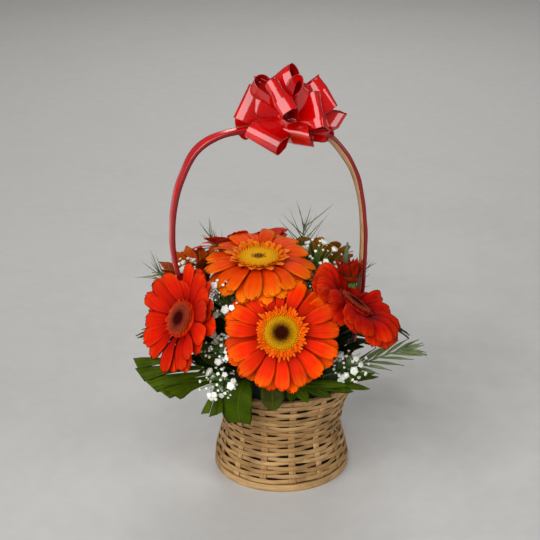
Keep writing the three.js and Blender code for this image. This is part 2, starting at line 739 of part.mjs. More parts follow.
// A blade along a line of points with a ridge along its middle
function ridged(points, halves, upper, crown) {
  const rings = points.map((point, i) => {
    const next = points[Math.min(i + 1, points.length - 1)];
    const run = next.clone().sub(points[Math.max(i - 1, 0)]).normalize();
    const side = upper.clone().cross(run).normalize();
    const top = run.clone().cross(side);
    return [offset(point, [side, -halves[i]]), offset(point, [side, halves[i]]),
      offset(point, [top, crown])];
  });
  return solid(skin(rings));
}

// Curve of a stem or rib from the end of its straight shank through the points of its path
function growth(path) {
  const direction = shankDirection(path[0]);
  const shankTip = offset(vec(...STEM_FOCUS), [direction, SHANK_END]);
  const curve = new THREE.CatmullRomCurve3([shankTip, ...path.map((point) => vec(...point))]);
  return { direction, curve };
}

// Direction of the leaf's upper face at a place on its rib, square to the rib
function upperSide(run, face) {
  return face.clone().addScaledVector(run, -face.dot(run)).normalize();
}

// The pieces of a row that clear all other plants
function fitting(count, make, plant) {
  return Array.from({ length: count }, (_, i) => make(i))
    .filter((shape) => clear(shape(LEAF_ROOM), plant))
    .map((shape) => shape(0));
}

// A frond: a rib with leaflets by turns on either side, each left out where it would cross
// another piece
function frond({ name, path, face, rib, leaflets, length, width, tip, spread, droop, from, colour }) {
  const { direction, curve } = growth(path);
  const steps = [0.33, 0.66, 1];
  const stem = stemmed(direction, GREEN_DEPTH, rib, 3, steps.map((t) => curve.getPoint(t)),
    steps.map((t) => rib * (1 - 0.5 * t)));
  reserve(stem, name);
  const leaflet = (i) => {
    const t = from + ((1 - from) * (i + 0.5)) / leaflets;
    const run = curve.getTangent(t);
    const upper = upperSide(run, vec(...face));
    const side = upper.clone().cross(run).multiplyScalar(i % 2 ? -1 : 1);
    const angle = THREE.MathUtils.degToRad(spread * (1 - 0.6 * t));
    const aim = offset(vec(0, 0, 0), [run, Math.cos(angle)], [side, Math.sin(angle)]);
    const size = Math.sin(Math.PI * (0.25 + 0.6 * t)) * length;
    const line = [0, 0.55, 1].map((s) => offset(curve.getPoint(t), [aim, size * s - 0.2],
      [vec(0, 0, -1), droop * size * s * s]));
    return (swell) => ridged(line, [0.13, 0.5, 0.5 * tip].map((w) => w * width + swell), upper,
      1 + swell);
  };
  return () => place(name, fused([stem, ...fitting(leaflets, leaflet, name)]), colour,
    { plant: name });
}

// A fan leaf: long blades that spread from a short rib
function fan({ name, path, face, rib, waist, blades, colour }) {
  const { direction, curve } = growth(path);
  const steps = [0.4, 0.7, 1];
  const stem = stemmed(direction, GREEN_DEPTH, rib, 3, steps.map((t) => curve.getPoint(t)),
    steps.map((t) => rib * (1 - 0.4 * t)));
  reserve(stem, name);
  const blade = (i) => {
    const [t, end, width] = blades[i];
    const root = curve.getPoint(t);
    const middle = root.clone().lerp(vec(...end), 0.55).add(vec(0, 0, 2));
    return (swell) => ridged([root, middle, vec(...end)],
      [BLADE_ROOT, Math.max(waist * width, BLADE_ROOT), width].map((w) => w / 2 + swell),
      vec(...face).normalize(), 1 + swell);
  };
  return () => place(name, fused([stem, ...fitting(blades.length, blade, name)]), colour,
    { plant: name });
}

// A broad leaf: a thin plate either side of its midrib, with a cut edge. Both faces are split
// into the same triangles.
function broadLeaf({ name, path, face, stem, width, teeth, cup, colour }) {
  const { direction, curve } = growth(path);
  const start = 0.28;
  const petiole = stemmed(direction, GREEN_DEPTH, stem, 3,
    [0.5 * start, start + 0.05].map((t) => curve.getPoint(t)), [stem, 0.8 * stem]);
  const rows = 2 * teeth + 1;
  const rings = Array.from({ length: rows }, (_, i) => {
    const s = i / (rows - 1);
    const t = start + (1 - start) * s;
    const run = curve.getTangent(t);
    const top = upperSide(run, vec(...face));
    const side = top.clone().cross(run);
    const outline = Math.sin(Math.PI * (0.08 + 0.86 * s)) ** 0.7;
    const half = (width / 2) * outline * (i % 2 ? 1.06 : 0.82);
    const edge = (turn) => offset(curve.getPoint(t), [side, turn * half], [top, cup * half],
      [run, i % 2 ? 0.12 * width : 0]);
    const row = [edge(-1), curve.getPoint(t), edge(1)];
    return [
      ...row.map((point) => offset(point, [top, BLADE / 2])),
      ...row.reverse().map((point) => offset(point, [top, -BLADE / 2])),
    ];
  });
  place(name, fused([petiole, solid(skin(rings, { alike: true }))]), colour, { plant: name });
}

// A sprig of needles: a slim stem with three-sided needles that fan out toward its end
function sprig({ name, path, needles, length, spread, seed }) {
  const random = seeded(seed);
  const { direction, curve } = growth(path);
  const stem = stemmed(direction, SPRAY_DEPTH, 1.1, 3, [0.5, 1].map((t) => curve.getPoint(t)),
    [1.1, 0.6]);
  reserve(stem, name);
  const needle = (i) => {
    const t = 0.5 + (0.48 * (i + 0.5)) / needles;
    const run = curve.getTangent(t);
    const side = run.clone().cross(vec(0.3, 0.2, 0.9)).normalize()
      .applyAxisAngle(run, i * 2.4 + random());
    const angle = THREE.MathUtils.degToRad(spread * (0.5 + 0.5 * random()));
    const aim = offset(vec(0, 0, 0), [run, Math.cos(angle)], [side, Math.sin(angle)]);
    const root = curve.getPoint(t);
    const size = length * (0.7 + 0.3 * random());
    const across = aim.clone().cross(run).normalize();
    return (swell) => solid(skin([
      circle(root, across, aim.clone().cross(across), NEEDLE + swell, 3),
      [offset(root, [aim, size + 2 * swell])],
    ]));
  };
  return () => place(name, fused([stem, ...fitting(needles, needle, name)]), COLOURS.needle,
    { plant: name });
}

// A spray of small double florets on fine stalks that leave one stem one after the other
function spray({ name, path, size, florets, seed }) {
  const random = seeded(seed);
  const { direction, curve } = growth(path);
  const stem = stemmed(direction, SPRAY_DEPTH, 0.9, 3, [0.5, 1].map((t) => curve.getPoint(t)),
    [0.9, 0.6]);
  reserve(stem, name);
  const heart = offset(curve.getPoint(1), [curve.getTangent(1), 0.35 * size]);
  const floret = (i) => {
    const root = curve.getPoint(1 - 0.42 * (1 - (i + 0.5) / florets));
    const turn = i * 2.4 + random();
    const level = 1 - (2 * (i + 0.5)) / florets;
    const girth = Math.sqrt(1 - level * level);
    const at = offset(heart, [vec(Math.cos(turn), Math.sin(turn), 0), 0.9 * size * girth],
      [vec(0, 0, 1), -0.8 * size * level]);
    const radius = FLORET * (0.85 + 0.3 * random());
    const aim = at.clone().sub(root).normalize();
    const across = aim.clone().cross(vec(0.2, 0.3, 0.9)).normalize();
    const along = aim.clone().cross(across);
    const ring = (height, width) => circle(offset(at, [aim, height]), across, along, width, 3);
    return (swell) => solid(skin([
      circle(root, across, along, STALK + swell, 3), ring(-0.7 * radius, STALK + swell),
      ring(0, radius + swell), [offset(at, [aim, 0.8 * radius + swell])],
    ]));
  };
  return () => place(name, fused([stem, ...fitting(florets, floret, name)]), COLOURS.floret,
    { plant: name });
}

basket();
liner();
bow(handle());
BROAD_LEAVES.forEach(broadLeaf);
const growing = [
  ...GERBERAS.map(gerbera), ...FANS.map(fan), ...FRONDS.map(frond), ...SPRIGS.map(sprig),
  ...SPRAYS.map(spray),
];
growing.forEach((finish) => finish());
foam();

export default group;
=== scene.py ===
"""Looks of the flower basket: gerberas, greenery and white filler flowers in a woven bamboo
basket with a ribboned handle and a satin bow.

Shapes are worked out in millimetres and scaled to metres when their mesh is made. +Z is up, the
handle stands in the XZ plane and the front faces -Y.
"""

from types import SimpleNamespace

import bpy
import numpy as np
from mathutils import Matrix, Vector


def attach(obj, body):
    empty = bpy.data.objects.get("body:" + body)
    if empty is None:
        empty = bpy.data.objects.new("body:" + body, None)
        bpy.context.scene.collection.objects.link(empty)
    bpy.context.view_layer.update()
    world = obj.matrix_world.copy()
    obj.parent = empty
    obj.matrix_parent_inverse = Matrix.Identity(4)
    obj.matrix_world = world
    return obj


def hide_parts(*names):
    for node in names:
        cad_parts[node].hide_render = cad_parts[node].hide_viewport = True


MM = 0.001
TAU = 2 * np.pi
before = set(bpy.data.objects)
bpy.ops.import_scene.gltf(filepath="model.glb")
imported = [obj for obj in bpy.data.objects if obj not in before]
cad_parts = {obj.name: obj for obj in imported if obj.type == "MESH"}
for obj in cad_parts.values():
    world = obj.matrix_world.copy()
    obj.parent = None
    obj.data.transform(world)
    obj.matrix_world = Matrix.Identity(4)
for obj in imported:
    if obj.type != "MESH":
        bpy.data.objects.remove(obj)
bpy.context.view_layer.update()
UP = np.array([0.0, 0.0, 1.0])
ALONG_Y = np.array([0.0, 1.0, 0.0])
# A direction that no stem follows, which a round rod's sides are taken from
OFF_AXIS = np.array([0.31, 0.23, 0.92])
# Turns in radians that spread the points of a spiral evenly: the golden angle, and near to it
GOLDEN_TURN = 2.399963
SPIRAL_TURN = 2.4

# Vectors and curves


def unit(v):
    """Each vector divided by its own length."""
    return v / np.maximum(np.linalg.norm(v, axis=-1, keepdims=True), 1e-9)


def toward(azimuth, elevation):
    """Unit vector at an azimuth from +X and an elevation above level, both in degrees."""
    a, e = np.radians(azimuth), np.radians(elevation)
    return np.stack([np.cos(a) * np.cos(e), np.sin(a) * np.cos(e), np.sin(e)], -1)


def angles(count):
    """Even angles round a circle, from 0 on."""
    return np.arange(count) * TAU / count


def level_way(angle):
    """Level unit vectors at angles from +X."""
    return np.stack([np.cos(angle), np.sin(angle), 0 * angle], -1)


def turned_about(v, axis, angle):
    """Vectors turned about a unit axis: v cos a + (axis x v) sin a + axis (axis.v)(1 - cos a)."""
    c, s = np.cos(angle), np.sin(angle)
    along = np.sum(axis * v, -1, keepdims=True) * axis
    return v * c + np.cross(axis, v) * s + along * (1 - c)


def smooth_curve(points, t):
    """A smooth curve through the points in cubic pieces, whose end slopes come from the square
    roots of the distances between neighbours. t runs from 0 to 1, evenly by point."""
    p = np.asarray(points, float)
    p = np.vstack([2 * p[0] - p[1], p, 2 * p[-1] - p[-2]])
    at = np.clip(np.asarray(t, float), 0, 1) * (len(points) - 1)
    i = np.minimum(at.astype(int), len(points) - 2)
    w = (at - i)[..., None]
    a, b, c, d = p[i], p[i + 1], p[i + 2], p[i + 3]
    ab, bc, cd = (np.sqrt(np.linalg.norm(y - x, axis=-1, keepdims=True)) for x, y in ((a, b), (b, c), (c, d)))
    start = ((b - a) / ab - (c - a) / (ab + bc) + (c - b) / bc) * bc
    end = ((c - b) / bc - (d - b) / (bc + cd) + (d - c) / cd) * bc
    return b + start * w + (3 * (c - b) - 2 * start - end) * w**2 + (2 * (b - c) + start + end) * w**3


def runs(line):
    """Unit direction of travel at each point of a line, by differences of its neighbours."""
    return unit(np.gradient(line, axis=-2))


def square_to(v, run):
    """The part of v that is square to run, as a unit vector."""
    return unit(v - np.sum(v * run, -1, keepdims=True) * run)


def distances(line):
    """How far along a line each of its points lies."""
    return np.concatenate([[0], np.cumsum(np.linalg.norm(np.diff(line, axis=0), axis=1))])


def even_steps(line, count):
    """A line's points placed anew at equal distances along it."""
    far = distances(line)
    at = np.linspace(0, far[-1], count)
    return np.stack([np.interp(at, far, line[:, i]) for i in range(3)], -1)


def straight(root, way, size, s):
    """Straight lines root + way size s, one for each root, with a point at each share s."""
    return root[:, None, :] + way[:, None, :] * (np.reshape(size, (-1, 1)) * s)[..., None]


# Meshes


def tubes(rings, around=None, along=None, shade=0.0, loop=False):
    """Closed skins over (skins, rings, points, 3): a quad between each two neighbours along and
    around, and a fan from the middle of each end ring, or in a loop the last ring joined to the
    first. UVs take their U from around and their V from along, and shade is one value in all,
    one for each skin or one for each ring."""
    k, m, n, _ = rings.shape
    ids = np.arange(k * m * n).reshape(k, m, n)
    beside = np.roll(ids, -1, axis=2)
    spans = m if loop else m - 1
    quads = np.stack([ids, beside, np.roll(beside, -1, axis=1), np.roll(ids, -1, axis=1)], -1)
    quads = quads[:, :spans].reshape(-1, 4)
    around = np.linspace(0, 1, n + 1) if around is None else np.asarray(around)
    along = np.broadcast_to(np.linspace(0, 1, m) if along is None else along, (k, m))
    if loop:
        along = np.concatenate([along, along[:, -1:] + (along[:, 1:2] - along[:, :1])], 1)
    left, right = around[:-1], around[1:]
    low, high = along[:, :spans, None], along[:, 1:spans + 1, None]
    corners = [np.broadcast_to(c, (k, spans, n)) for c in (left, low, right, low, right, high, left, high)]
    uv = [np.stack(corners, -1).reshape(-1, 2)]
    shade = np.asarray(shade, float)
    shade = np.broadcast_to(shade.reshape(-1, 1, 1) if shade.ndim < 2 else shade, (k, m, n))
    points, shades, tris = [rings.reshape(-1, 3)], [shade.reshape(-1)], np.zeros((0, 3), int)
    if not loop:
        poles = k * m * n + np.arange(2 * k).reshape(k, 2)
        first = np.stack([beside[:, 0], ids[:, 0], np.broadcast_to(poles[:, :1], (k, n))], -1)
        last = np.stack([ids[:, -1], beside[:, -1], np.broadcast_to(poles[:, 1:], (k, n))], -1)
        tris = np.concatenate([first.reshape(-1, 3), last.reshape(-1, 3)])
        points.append(rings[:, [0, -1]].mean(axis=2).reshape(-1, 3))
        shades.append(shade[:, [0, -1]].mean(axis=2).reshape(-1))
        for edges, end in (([right, left], 0), ([left, right], -1)):
            u = np.broadcast_to(np.stack([*edges, 0.5 * (left + right)], -1), (k, n, 3))
            v = np.broadcast_to(along[:, end][:, None, None], (k, n, 3))
            uv.append(np.stack([u, v], -1).reshape(-1, 2))
    return {"points": np.concatenate(points), "quads": quads, "tris": tris, "uv": np.concatenate(uv),
            "shade": np.concatenate(shades)}


def joined(*parts):
    """Several skins as one: their points in a row, with the faces' numbers moved on."""
    starts = np.cumsum([0] + [len(p["points"]) for p in parts[:-1]])
    cuts = [4 * len(p["quads"]) for p in parts]
    quad_uv = [p["uv"][:cut] for p, cut in zip(parts, cuts)]
    tri_uv = [p["uv"][cut:] for p, cut in zip(parts, cuts)]
    return {
        "points": np.concatenate([p["points"] for p in parts]),
        "quads": np.concatenate([p["quads"] + s for p, s in zip(parts, starts)]),
        "tris": np.concatenate([p["tris"] + s for p, s in zip(parts, starts)]),
        "uv": np.concatenate(quad_uv + tri_uv),
        "shade": np.concatenate([p["shade"] for p in parts]),
    }


def outward(skin):
    """The skin with its faces turned round if the volume that they enclose comes out negative."""
    p, q, t = skin["points"], skin["quads"], skin["tris"]
    corners = np.concatenate([q[:, [0, 1, 2]], q[:, [0, 2, 3]], t])
    a, b, c = (p[corners[:, i]] for i in range(3))
    if np.sum(a * np.cross(b, c)) >= 0:
        return skin
    cut = 4 * len(q)
    quad_uv = skin["uv"][:cut].reshape(-1, 4, 2)[:, ::-1].reshape(-1, 2)
    tri_uv = skin["uv"][cut:].reshape(-1, 3, 2)[:, ::-1].reshape(-1, 2)
    return {**skin, "quads": q[:, ::-1], "tris": t[:, ::-1], "uv": np.concatenate([quad_uv, tri_uv])}


def placed(name, data):
    """A new object with these data, linked to the scene."""
    obj = bpy.data.objects.new(name, data)
    bpy.context.scene.collection.objects.link(obj)
    return obj


def piece(name, skin, look, replaces=()):
    """A skin made an object that rides on the root, with its UV map and shade attribute."""
    skin = outward(skin)
    quads, tris = skin["quads"], skin["tris"]
    mesh = bpy.data.meshes.new(name)
    corners = np.concatenate([quads.reshape(-1), tris.reshape(-1)])
    mesh.vertices.add(len(skin["points"]))
    mesh.vertices.foreach_set("co", (skin["points"] * MM).astype(np.float32).reshape(-1))
    mesh.loops.add(len(corners))
    mesh.loops.foreach_set("vertex_index", corners.astype(np.int32))
    mesh.polygons.add(len(quads) + len(tris))
    starts = np.concatenate([4 * np.arange(len(quads)), 4 * len(quads) + 3 * np.arange(len(tris))])
    mesh.polygons.foreach_set("loop_start", starts.astype(np.int32))
    mesh.polygons.foreach_set("use_smooth", np.ones(len(starts), bool))
    mesh.uv_layers.new(name="UVMap").data.foreach_set("uv", skin["uv"].astype(np.float32).reshape(-1))
    mesh.attributes.new("shade", "FLOAT", "POINT").data.foreach_set("value", skin["shade"].astype(np.float32))
    mesh.update(calc_edges=True)
    mesh.materials.append(look)
    obj = placed(name, mesh)
    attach(obj, "root")
    if replaces:
        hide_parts(*replaces)
    return obj


def section_rings(line, side, top, section):
    """Rings that carry a flat section (across, up) along a line with its own side and top."""
    across, rise = section[..., 0, None], section[..., 1, None]
    return line[..., None, :] + side[..., None, :] * across + top[..., None, :] * rise


def round_rods(line, radii, sides, run=None):
    """Round rods: a circle square to each line, of the radius given in all, at each of its points
    or at each corner of each circle."""
    run = runs(line) if run is None else run
    side = unit(np.cross(OFF_AXIS, run))
    radii = np.asarray(radii, float)
    if radii.ndim < line.ndim:
        radii = np.broadcast_to(radii, line.shape[:-1])[..., None]
    angle = angles(sides)
    section = np.stack([np.cos(angle), np.sin(angle)], -1) * radii[..., None]
    return section_rings(line, side, np.cross(run, side), section)


def blade_section(points):
    """Places across a blade from -1 to 1 on its top and back again underneath."""
    top = np.linspace(-1, 1, points)
    return np.concatenate([top, top[-2:0:-1]]), np.concatenate([np.ones(points), np.zeros(points - 2)])


def blades(line, face, half, thickness, points, shade, relief=None, slide=None):
    """Thin closed blades. At s along and t across, the upper side is line(s) + side t half(s)
    + top relief(s, t) + run slide(s, t); the underside is that less thickness (1 - t^2)."""
    t, upper = blade_section(points)
    run = runs(line)
    top = square_to(np.broadcast_to(face, line.shape), run)
    s = np.linspace(0, 1, line.shape[-2])
    rise = relief(s[:, None], t) if relief else 0 * t
    rise = rise - (1 - upper) * thickness * (1 - t**2)
    rise = np.broadcast_to(rise, line.shape[:-1] + (len(t),))
    across = np.broadcast_to(np.asarray(half)[..., None] * t, rise.shape)
    rings = section_rings(line, np.cross(top, run), top, np.stack([across, rise], -1))
    if slide:
        rings = rings + run[..., None, :] * np.broadcast_to(slide(s[:, None], t), rise.shape)[..., None]
    return tubes(rings, around=(np.append(t, -1) + 1) / 2, shade=shade)


# Finishes

WHITE = (1.0, 1.0, 1.0, 1.0)
PLAIN_GREY = (0.5, 0.5, 0.5, 1.0)
SURFACE = {"Color": "Color", "Roughness": "Float", "Height": "Float"}


def node(tree, kind, inputs=None, **settings):
    """A shader node with its settings made, its inputs filled in and its links drawn."""
    made = tree.nodes.new(kind)
    for key, value in settings.items():
        setattr(made, key, value)
    for key, value in (inputs or {}).items():
        if isinstance(value, bpy.types.NodeSocket):
            tree.links.new(value, made.inputs[key])
        else:
            made.inputs[key].default_value = value
    return made


def maths(tree, operation, a, b=0.0, c=0.0):
    """The outcome of one operation on up to three values."""
    return node(tree, "ShaderNodeMath", {0: a, 1: b, 2: c}, operation=operation).outputs[0]


def mixed(tree, share, a, b):
    """Colour a with this share of colour b."""
    return node(tree, "ShaderNodeMix", {0: share, 6: a, 7: b}, data_type="RGBA").outputs[2]


def between(tree, value, low, high, to_low=0.0, to_high=1.0):
    """A smooth step from to_low to to_high as value goes from low to high."""
    ends = {0: value, 1: low, 2: high, 3: to_low, 4: to_high}
    return node(tree, "ShaderNodeMapRange", ends, interpolation_type="SMOOTHSTEP").outputs[0]


def noise(tree, vector, scale, detail, roughness=0.55):
    """Cloudy noise over a vector."""
    inputs = {"Vector": vector, "Scale": scale, "Detail": detail, "Roughness": roughness}
    return node(tree, "ShaderNodeTexNoise", inputs).outputs[0]


def fibres(tree, uv, across, along, detail, roughness=0.55):
    """Noise drawn out along the UV map's V, with these scales across and along."""
    scaled = node(tree, "ShaderNodeMapping", {"Vector": uv, "Scale": (across, along, 1.0)}).outputs[0]
    return noise(tree, scaled, 1.0, detail, roughness)


def from_midline(tree, u):
    """0 on the middle line of a strip and 1 at its edges."""
    return maths(tree, "ABSOLUTE", maths(tree, "MULTIPLY_ADD", u, 2.0, -1.0))


def brighter(tree, colour, value):
    """A colour with its brightness multiplied by value."""
    return node(tree, "ShaderNodeHueSaturation", {"Color": colour, "Value": value}).outputs[0]


def places(tree):
    """What the effects go by: the object's coordinates as where, its UV map as uv and in its two
    parts u and v, and its shade attribute."""
    found = node(tree, "ShaderNodeTexCoord").outputs
    split = node(tree, "ShaderNodeSeparateXYZ", {0: found["UV"]}).outputs
    shade = node(tree, "ShaderNodeAttribute", attribute_name="shade").outputs["Fac"]
    return SimpleNamespace(where=found["Object"], uv=found["UV"], u=split[0], v=split[1], shade=shade)


def effect(build, colours, numbers=()):
    """A node group named after build: inputs for colours and numbers, and the nodes that build
    puts between them and a colour, a roughness and a height."""
    tree = bpy.data.node_groups.new(build.__name__, "ShaderNodeTree")
    inputs = [(label, "Color", WHITE) for label in colours]
    inputs += [(label, "Float", value) for label, value in numbers]
    for label, kind, value in inputs:
        socket = tree.interface.new_socket(label, in_out="INPUT", socket_type="NodeSocket" + kind)
        socket.default_value = value
    for label, kind in SURFACE.items():
        tree.interface.new_socket(label, in_out="OUTPUT", socket_type="NodeSocket" + kind)
    entry = tree.nodes.new("NodeGroupInput")
    given = {label: entry.outputs[label] for label, _, _ in inputs}
    leave = tree.nodes.new("NodeGroupOutput")
    for label, socket in zip(SURFACE, build(tree, given, places(tree))):
        tree.links.new(socket, leave.inputs[label])
    return tree


def finish(name, group, values, bump=0.3, distance=0.001, **constants):
    """A material: an effect group, whose inputs take the values in turn, into the surface shader,
    with the other constants on that shader's sockets."""
    material = bpy.data.materials.new(name)
    material.use_nodes = True
    tree = material.node_tree
    shader = tree.nodes["Principled BSDF"]
    made = node(tree, "ShaderNodeGroup", node_tree=group)
    for socket, value in zip(made.inputs, values):
        socket.default_value = (*value, 1.0) if isinstance(value, tuple) else value
    tree.links.new(made.outputs["Color"], shader.inputs["Base Color"])
    tree.links.new(made.outputs["Roughness"], shader.inputs["Roughness"])
    if bump:
        relief = {"Strength": bump, "Distance": distance, "Height": made.outputs["Height"]}
        tree.links.new(node(tree, "ShaderNodeBump", relief).outputs[0], shader.inputs["Normal"])
    for key, value in constants.items():
        shader.inputs[key.replace("_", " ")].default_value = value
    material.diffuse_color = made.inputs["Body"].default_value if "Body" in made.inputs else PLAIN_GREY
    return material


def finishes(prefix, group, table, **settings):
    """A finish for each row of a table."""
    return {key: finish(prefix + key, group, values, **settings) for key, values in table.items()}


def petal_tone(tree, given, at):
    """Colour from root to tip and from midline to edge, painted shade in two long grooves, and long fine
    ridges.
    """
    fine = fibres(tree, at.uv, 26.0, 1.4, 3.0)
    broad = noise(tree, at.where, 55.0, 2.0)
    t = from_midline(tree, at.u)
    edge = maths(tree, "MULTIPLY", between(tree, t, 0.66, 1.0, 0.0, 0.9), between(tree, at.v, 0.35, 0.85))
    pale = maths(tree, "MAXIMUM", maths(tree, "MULTIPLY", between(tree, at.v, 0.62, 1.0), 0.7), edge)
    pale = maths(tree, "MULTIPLY", pale, between(tree, broad, 0.3, 0.6, 0.35, 0.9))
    colour = mixed(tree, between(tree, at.v, 0.05, 0.6), given["Root"], given["Body"])
    colour = mixed(tree, pale, colour, given["Edge"])
    # Painted shade: the two grooves, where the petal's surface is creased, are darkened toward the root
    # colour; the fine ridges' dark lines are the petal's own.
    groove = between(tree, maths(tree, "ABSOLUTE", maths(tree, "SUBTRACT", t, 0.36)), 0.14, 0.0, 0.0, 0.36)
    dark = maths(tree, "MAXIMUM", groove, between(tree, fine, 0.58, 0.34, 0.0, 0.55))
    colour = mixed(tree, dark, colour, given["Root"])
    lift = maths(tree, "MULTIPLY_ADD", at.shade, 0.34, 0.8)
    lift = maths(tree, "MULTIPLY", lift, maths(tree, "MULTIPLY_ADD", broad, 0.3, 0.88))
    return brighter(tree, colour, lift), between(tree, fine, 0.3, 0.7, 0.42, 0.6), fine


def floret_tone(tree, given, at):
    """Colour by the shade attribute, which holds the share of the disc's radius."""
    speck = noise(tree, at.where, 900.0, 2.0)
    share = maths(tree, "MULTIPLY_ADD", speck, 0.36, maths(tree, "ADD", at.shade, -0.18))
    ring = between(tree, share, given["Ring start"], given["Ring end"])
    colour = mixed(tree, ring, given["Eye"], given["Ring"])
    colour = mixed(tree, between(tree, share, 0.9, 1.1), colour, given["Rim"])
    colour = mixed(tree, between(tree, at.v, 0.2, 0.8, 0.4, 0.0), colour, given["Eye"])
    return colour, between(tree, speck, 0.3, 0.7, 0.6, 0.8), speck


def leaf_tone(tree, given, at):
    """Green with a pale midrib, side veins that run forward from it, and soft blotches."""
    t = from_midline(tree, at.u)
    rib = between(tree, t, given["Rib"], 0.0)
    forward = maths(tree, "MULTIPLY_ADD", t, -0.12, at.v)
    wave = maths(tree, "SINE", maths(tree, "MULTIPLY", forward, given["Veins"]))
    vein = maths(tree, "MULTIPLY", between(tree, wave, 0.82, 1.0), given["Vein show"])
    line = maths(tree, "MAXIMUM", vein, rib)
    fibre = fibres(tree, at.uv, 60.0, 2.0, 2.0)
    blotch = noise(tree, at.where, 70.0, 3.0)
    colour = mixed(tree, between(tree, blotch, 0.35, 0.7), given["Body"], given["Deep"])
    colour = mixed(tree, maths(tree, "MULTIPLY", fibre, given["Fibre"]), colour, given["Pale"])
    colour = mixed(tree, line, colour, given["Pale"])
    colour = brighter(tree, colour, maths(tree, "MULTIPLY_ADD", at.shade, 0.4, 0.8))
    height = maths(tree, "SUBTRACT", maths(tree, "MULTIPLY", fibre, 0.3), line)
    return colour, between(tree, blotch, 0.3, 0.7, 0.34, 0.5), height


def bamboo_tone(tree, given, at):
    """Split bamboo: fibres along the strip, a tint of its own for each strip, dark flecks."""
    fibre = fibres(tree, at.uv, 30.0, 5.0, 4.0, 0.6)
    fleck = fibres(tree, at.uv, 14.0, 16.0, 2.0)
    cloud = noise(tree, at.where, 38.0, 3.0)
    colour = mixed(tree, between(tree, at.shade, 0.1, 0.9), given["Body"], given["Pale"])
    colour = mixed(tree, between(tree, fibre, 0.35, 0.72, 0.0, 0.5), colour, given["Deep"])
    colour = mixed(tree, between(tree, cloud, 0.46, 0.72, 0.0, 0.55), colour, given["Deep"])
    colour = mixed(tree, between(tree, fleck, 0.66, 0.76, 0.0, 0.5), colour, given["Fleck"])
    return colour, between(tree, fibre, 0.3, 0.7, 0.42, 0.62), fibre


def satin_tone(tree, given, at):
    """Satin ribbon: fine cross threads, soft clouds, and painted shade that darkens it along the edges."""
    thread = fibres(tree, at.uv, 3.0, 900.0, 1.0)
    streak = noise(tree, at.where, 30.0, 1.0)
    inner = given["Edge from"]
    # Painted shade: a band next to each edge is mixed toward the Edge colour.
    edge = between(tree, from_midline(tree, at.u), inner, maths(tree, "ADD", inner, 0.1))
    colour = mixed(tree, between(tree, streak, 0.35, 0.7), given["Body"], given["Deep"])
    colour = mixed(tree, maths(tree, "MULTIPLY", edge, 0.8), colour, given["Edge"])
    return colour, between(tree, streak, 0.3, 0.7, 0.22, 0.3), thread


def grainy_tone(tree, given, at):
    """One colour broken up by blotches, with a granular surface."""
    grain = noise(tree, at.where, given["Grain"], 4.0, 0.7)
    blotch = noise(tree, at.where, 60.0, 2.0)
    colour = mixed(tree, between(tree, grain, 0.35, 0.65), given["Body"], given["Deep"])
    colour = mixed(tree, between(tree, blotch, 0.4, 0.7, 0.0, 0.5), colour, given["Pale"])
    colour = brighter(tree, colour, maths(tree, "MULTIPLY_ADD", at.shade, 0.3, 0.85))
    return colour, between(tree, grain, 0.3, 0.7, 0.5, 0.75), grain


petal_group = effect(petal_tone, ["Root", "Body", "Edge"])
floret_group = effect(floret_tone, ["Eye", "Ring", "Rim"], [("Ring start", 0.5), ("Ring end", 0.7)])
leaf_group = effect(leaf_tone, ["Body", "Deep", "Pale"],
                    [("Rib", 0.08), ("Veins", 70.0), ("Vein show", 0.4), ("Fibre", 0.2)])
bamboo_group = effect(bamboo_tone, ["Body", "Pale", "Deep", "Fleck"])
satin_group = effect(satin_tone, ["Body", "Deep", "Edge"], [("Edge from", 0.9)])
grainy_group = effect(grainy_tone, ["Body", "Deep", "Pale"], [("Grain", 400.0)])

# The values of each finish stand in the order of its group's inputs
PETAL_SKIN = {"bump": 0.7, "distance": 0.0007, "IOR": 1.12,
              "Subsurface_Weight": 0.08, "Subsurface_Scale": 0.003}
PETALS = finishes("petal_", petal_group, {
    "orange": [(0.60, 0.026, 0.0), (0.90, 0.072, 0.001), (1.0, 0.29, 0.002)],
    "flame": [(0.44, 0.004, 0.0), (0.86, 0.026, 0.0), (1.0, 0.19, 0.001)],
    "red": [(0.30, 0.002, 0.0), (0.66, 0.011, 0.001), (0.88, 0.06, 0.003)],
    "crimson": [(0.10, 0.0, 0.0), (0.58, 0.006, 0.001), (0.86, 0.05, 0.003)],
    "amber": [(0.045, 0.06, 0.004), (0.38, 0.13, 0.006), (0.55, 0.20, 0.010)],
    "dusk": [(0.05, 0.03, 0.002), (0.36, 0.003, 0.001), (0.62, 0.03, 0.003)],
    # The next finish is a darker copy of the orange petals: painted shade for the back-left bloom, which
    # stands in shadow.
    "rust": [(0.13, 0.012, 0.0), (0.36, 0.042, 0.002), (0.60, 0.13, 0.006)],
}, **PETAL_SKIN)
INNER_PETALS = finishes("inner_", petal_group, {
    "orange": [(0.75, 0.12, 0.0), (0.88, 0.14, 0.002), (0.95, 0.34, 0.015)],
    "flame": [(0.88, 0.09, 0.0), (0.96, 0.105, 0.001), (1.0, 0.32, 0.012)],
    "red": [(0.38, 0.01, 0.002), (0.60, 0.02, 0.003), (0.80, 0.12, 0.02)],
    "crimson": [(0.15, 0.0, 0.0), (0.42, 0.005, 0.002), (0.66, 0.06, 0.012)],
    "amber": [(0.20, 0.06, 0.002), (0.42, 0.12, 0.004), (0.60, 0.22, 0.012)],
    # The next finish is a darker copy of the orange inner florets: painted shade for the back-left bloom,
    # which stands in shadow.
    "rust": [(0.20, 0.03, 0.002), (0.40, 0.06, 0.004), (0.60, 0.16, 0.012)],
}, **PETAL_SKIN)
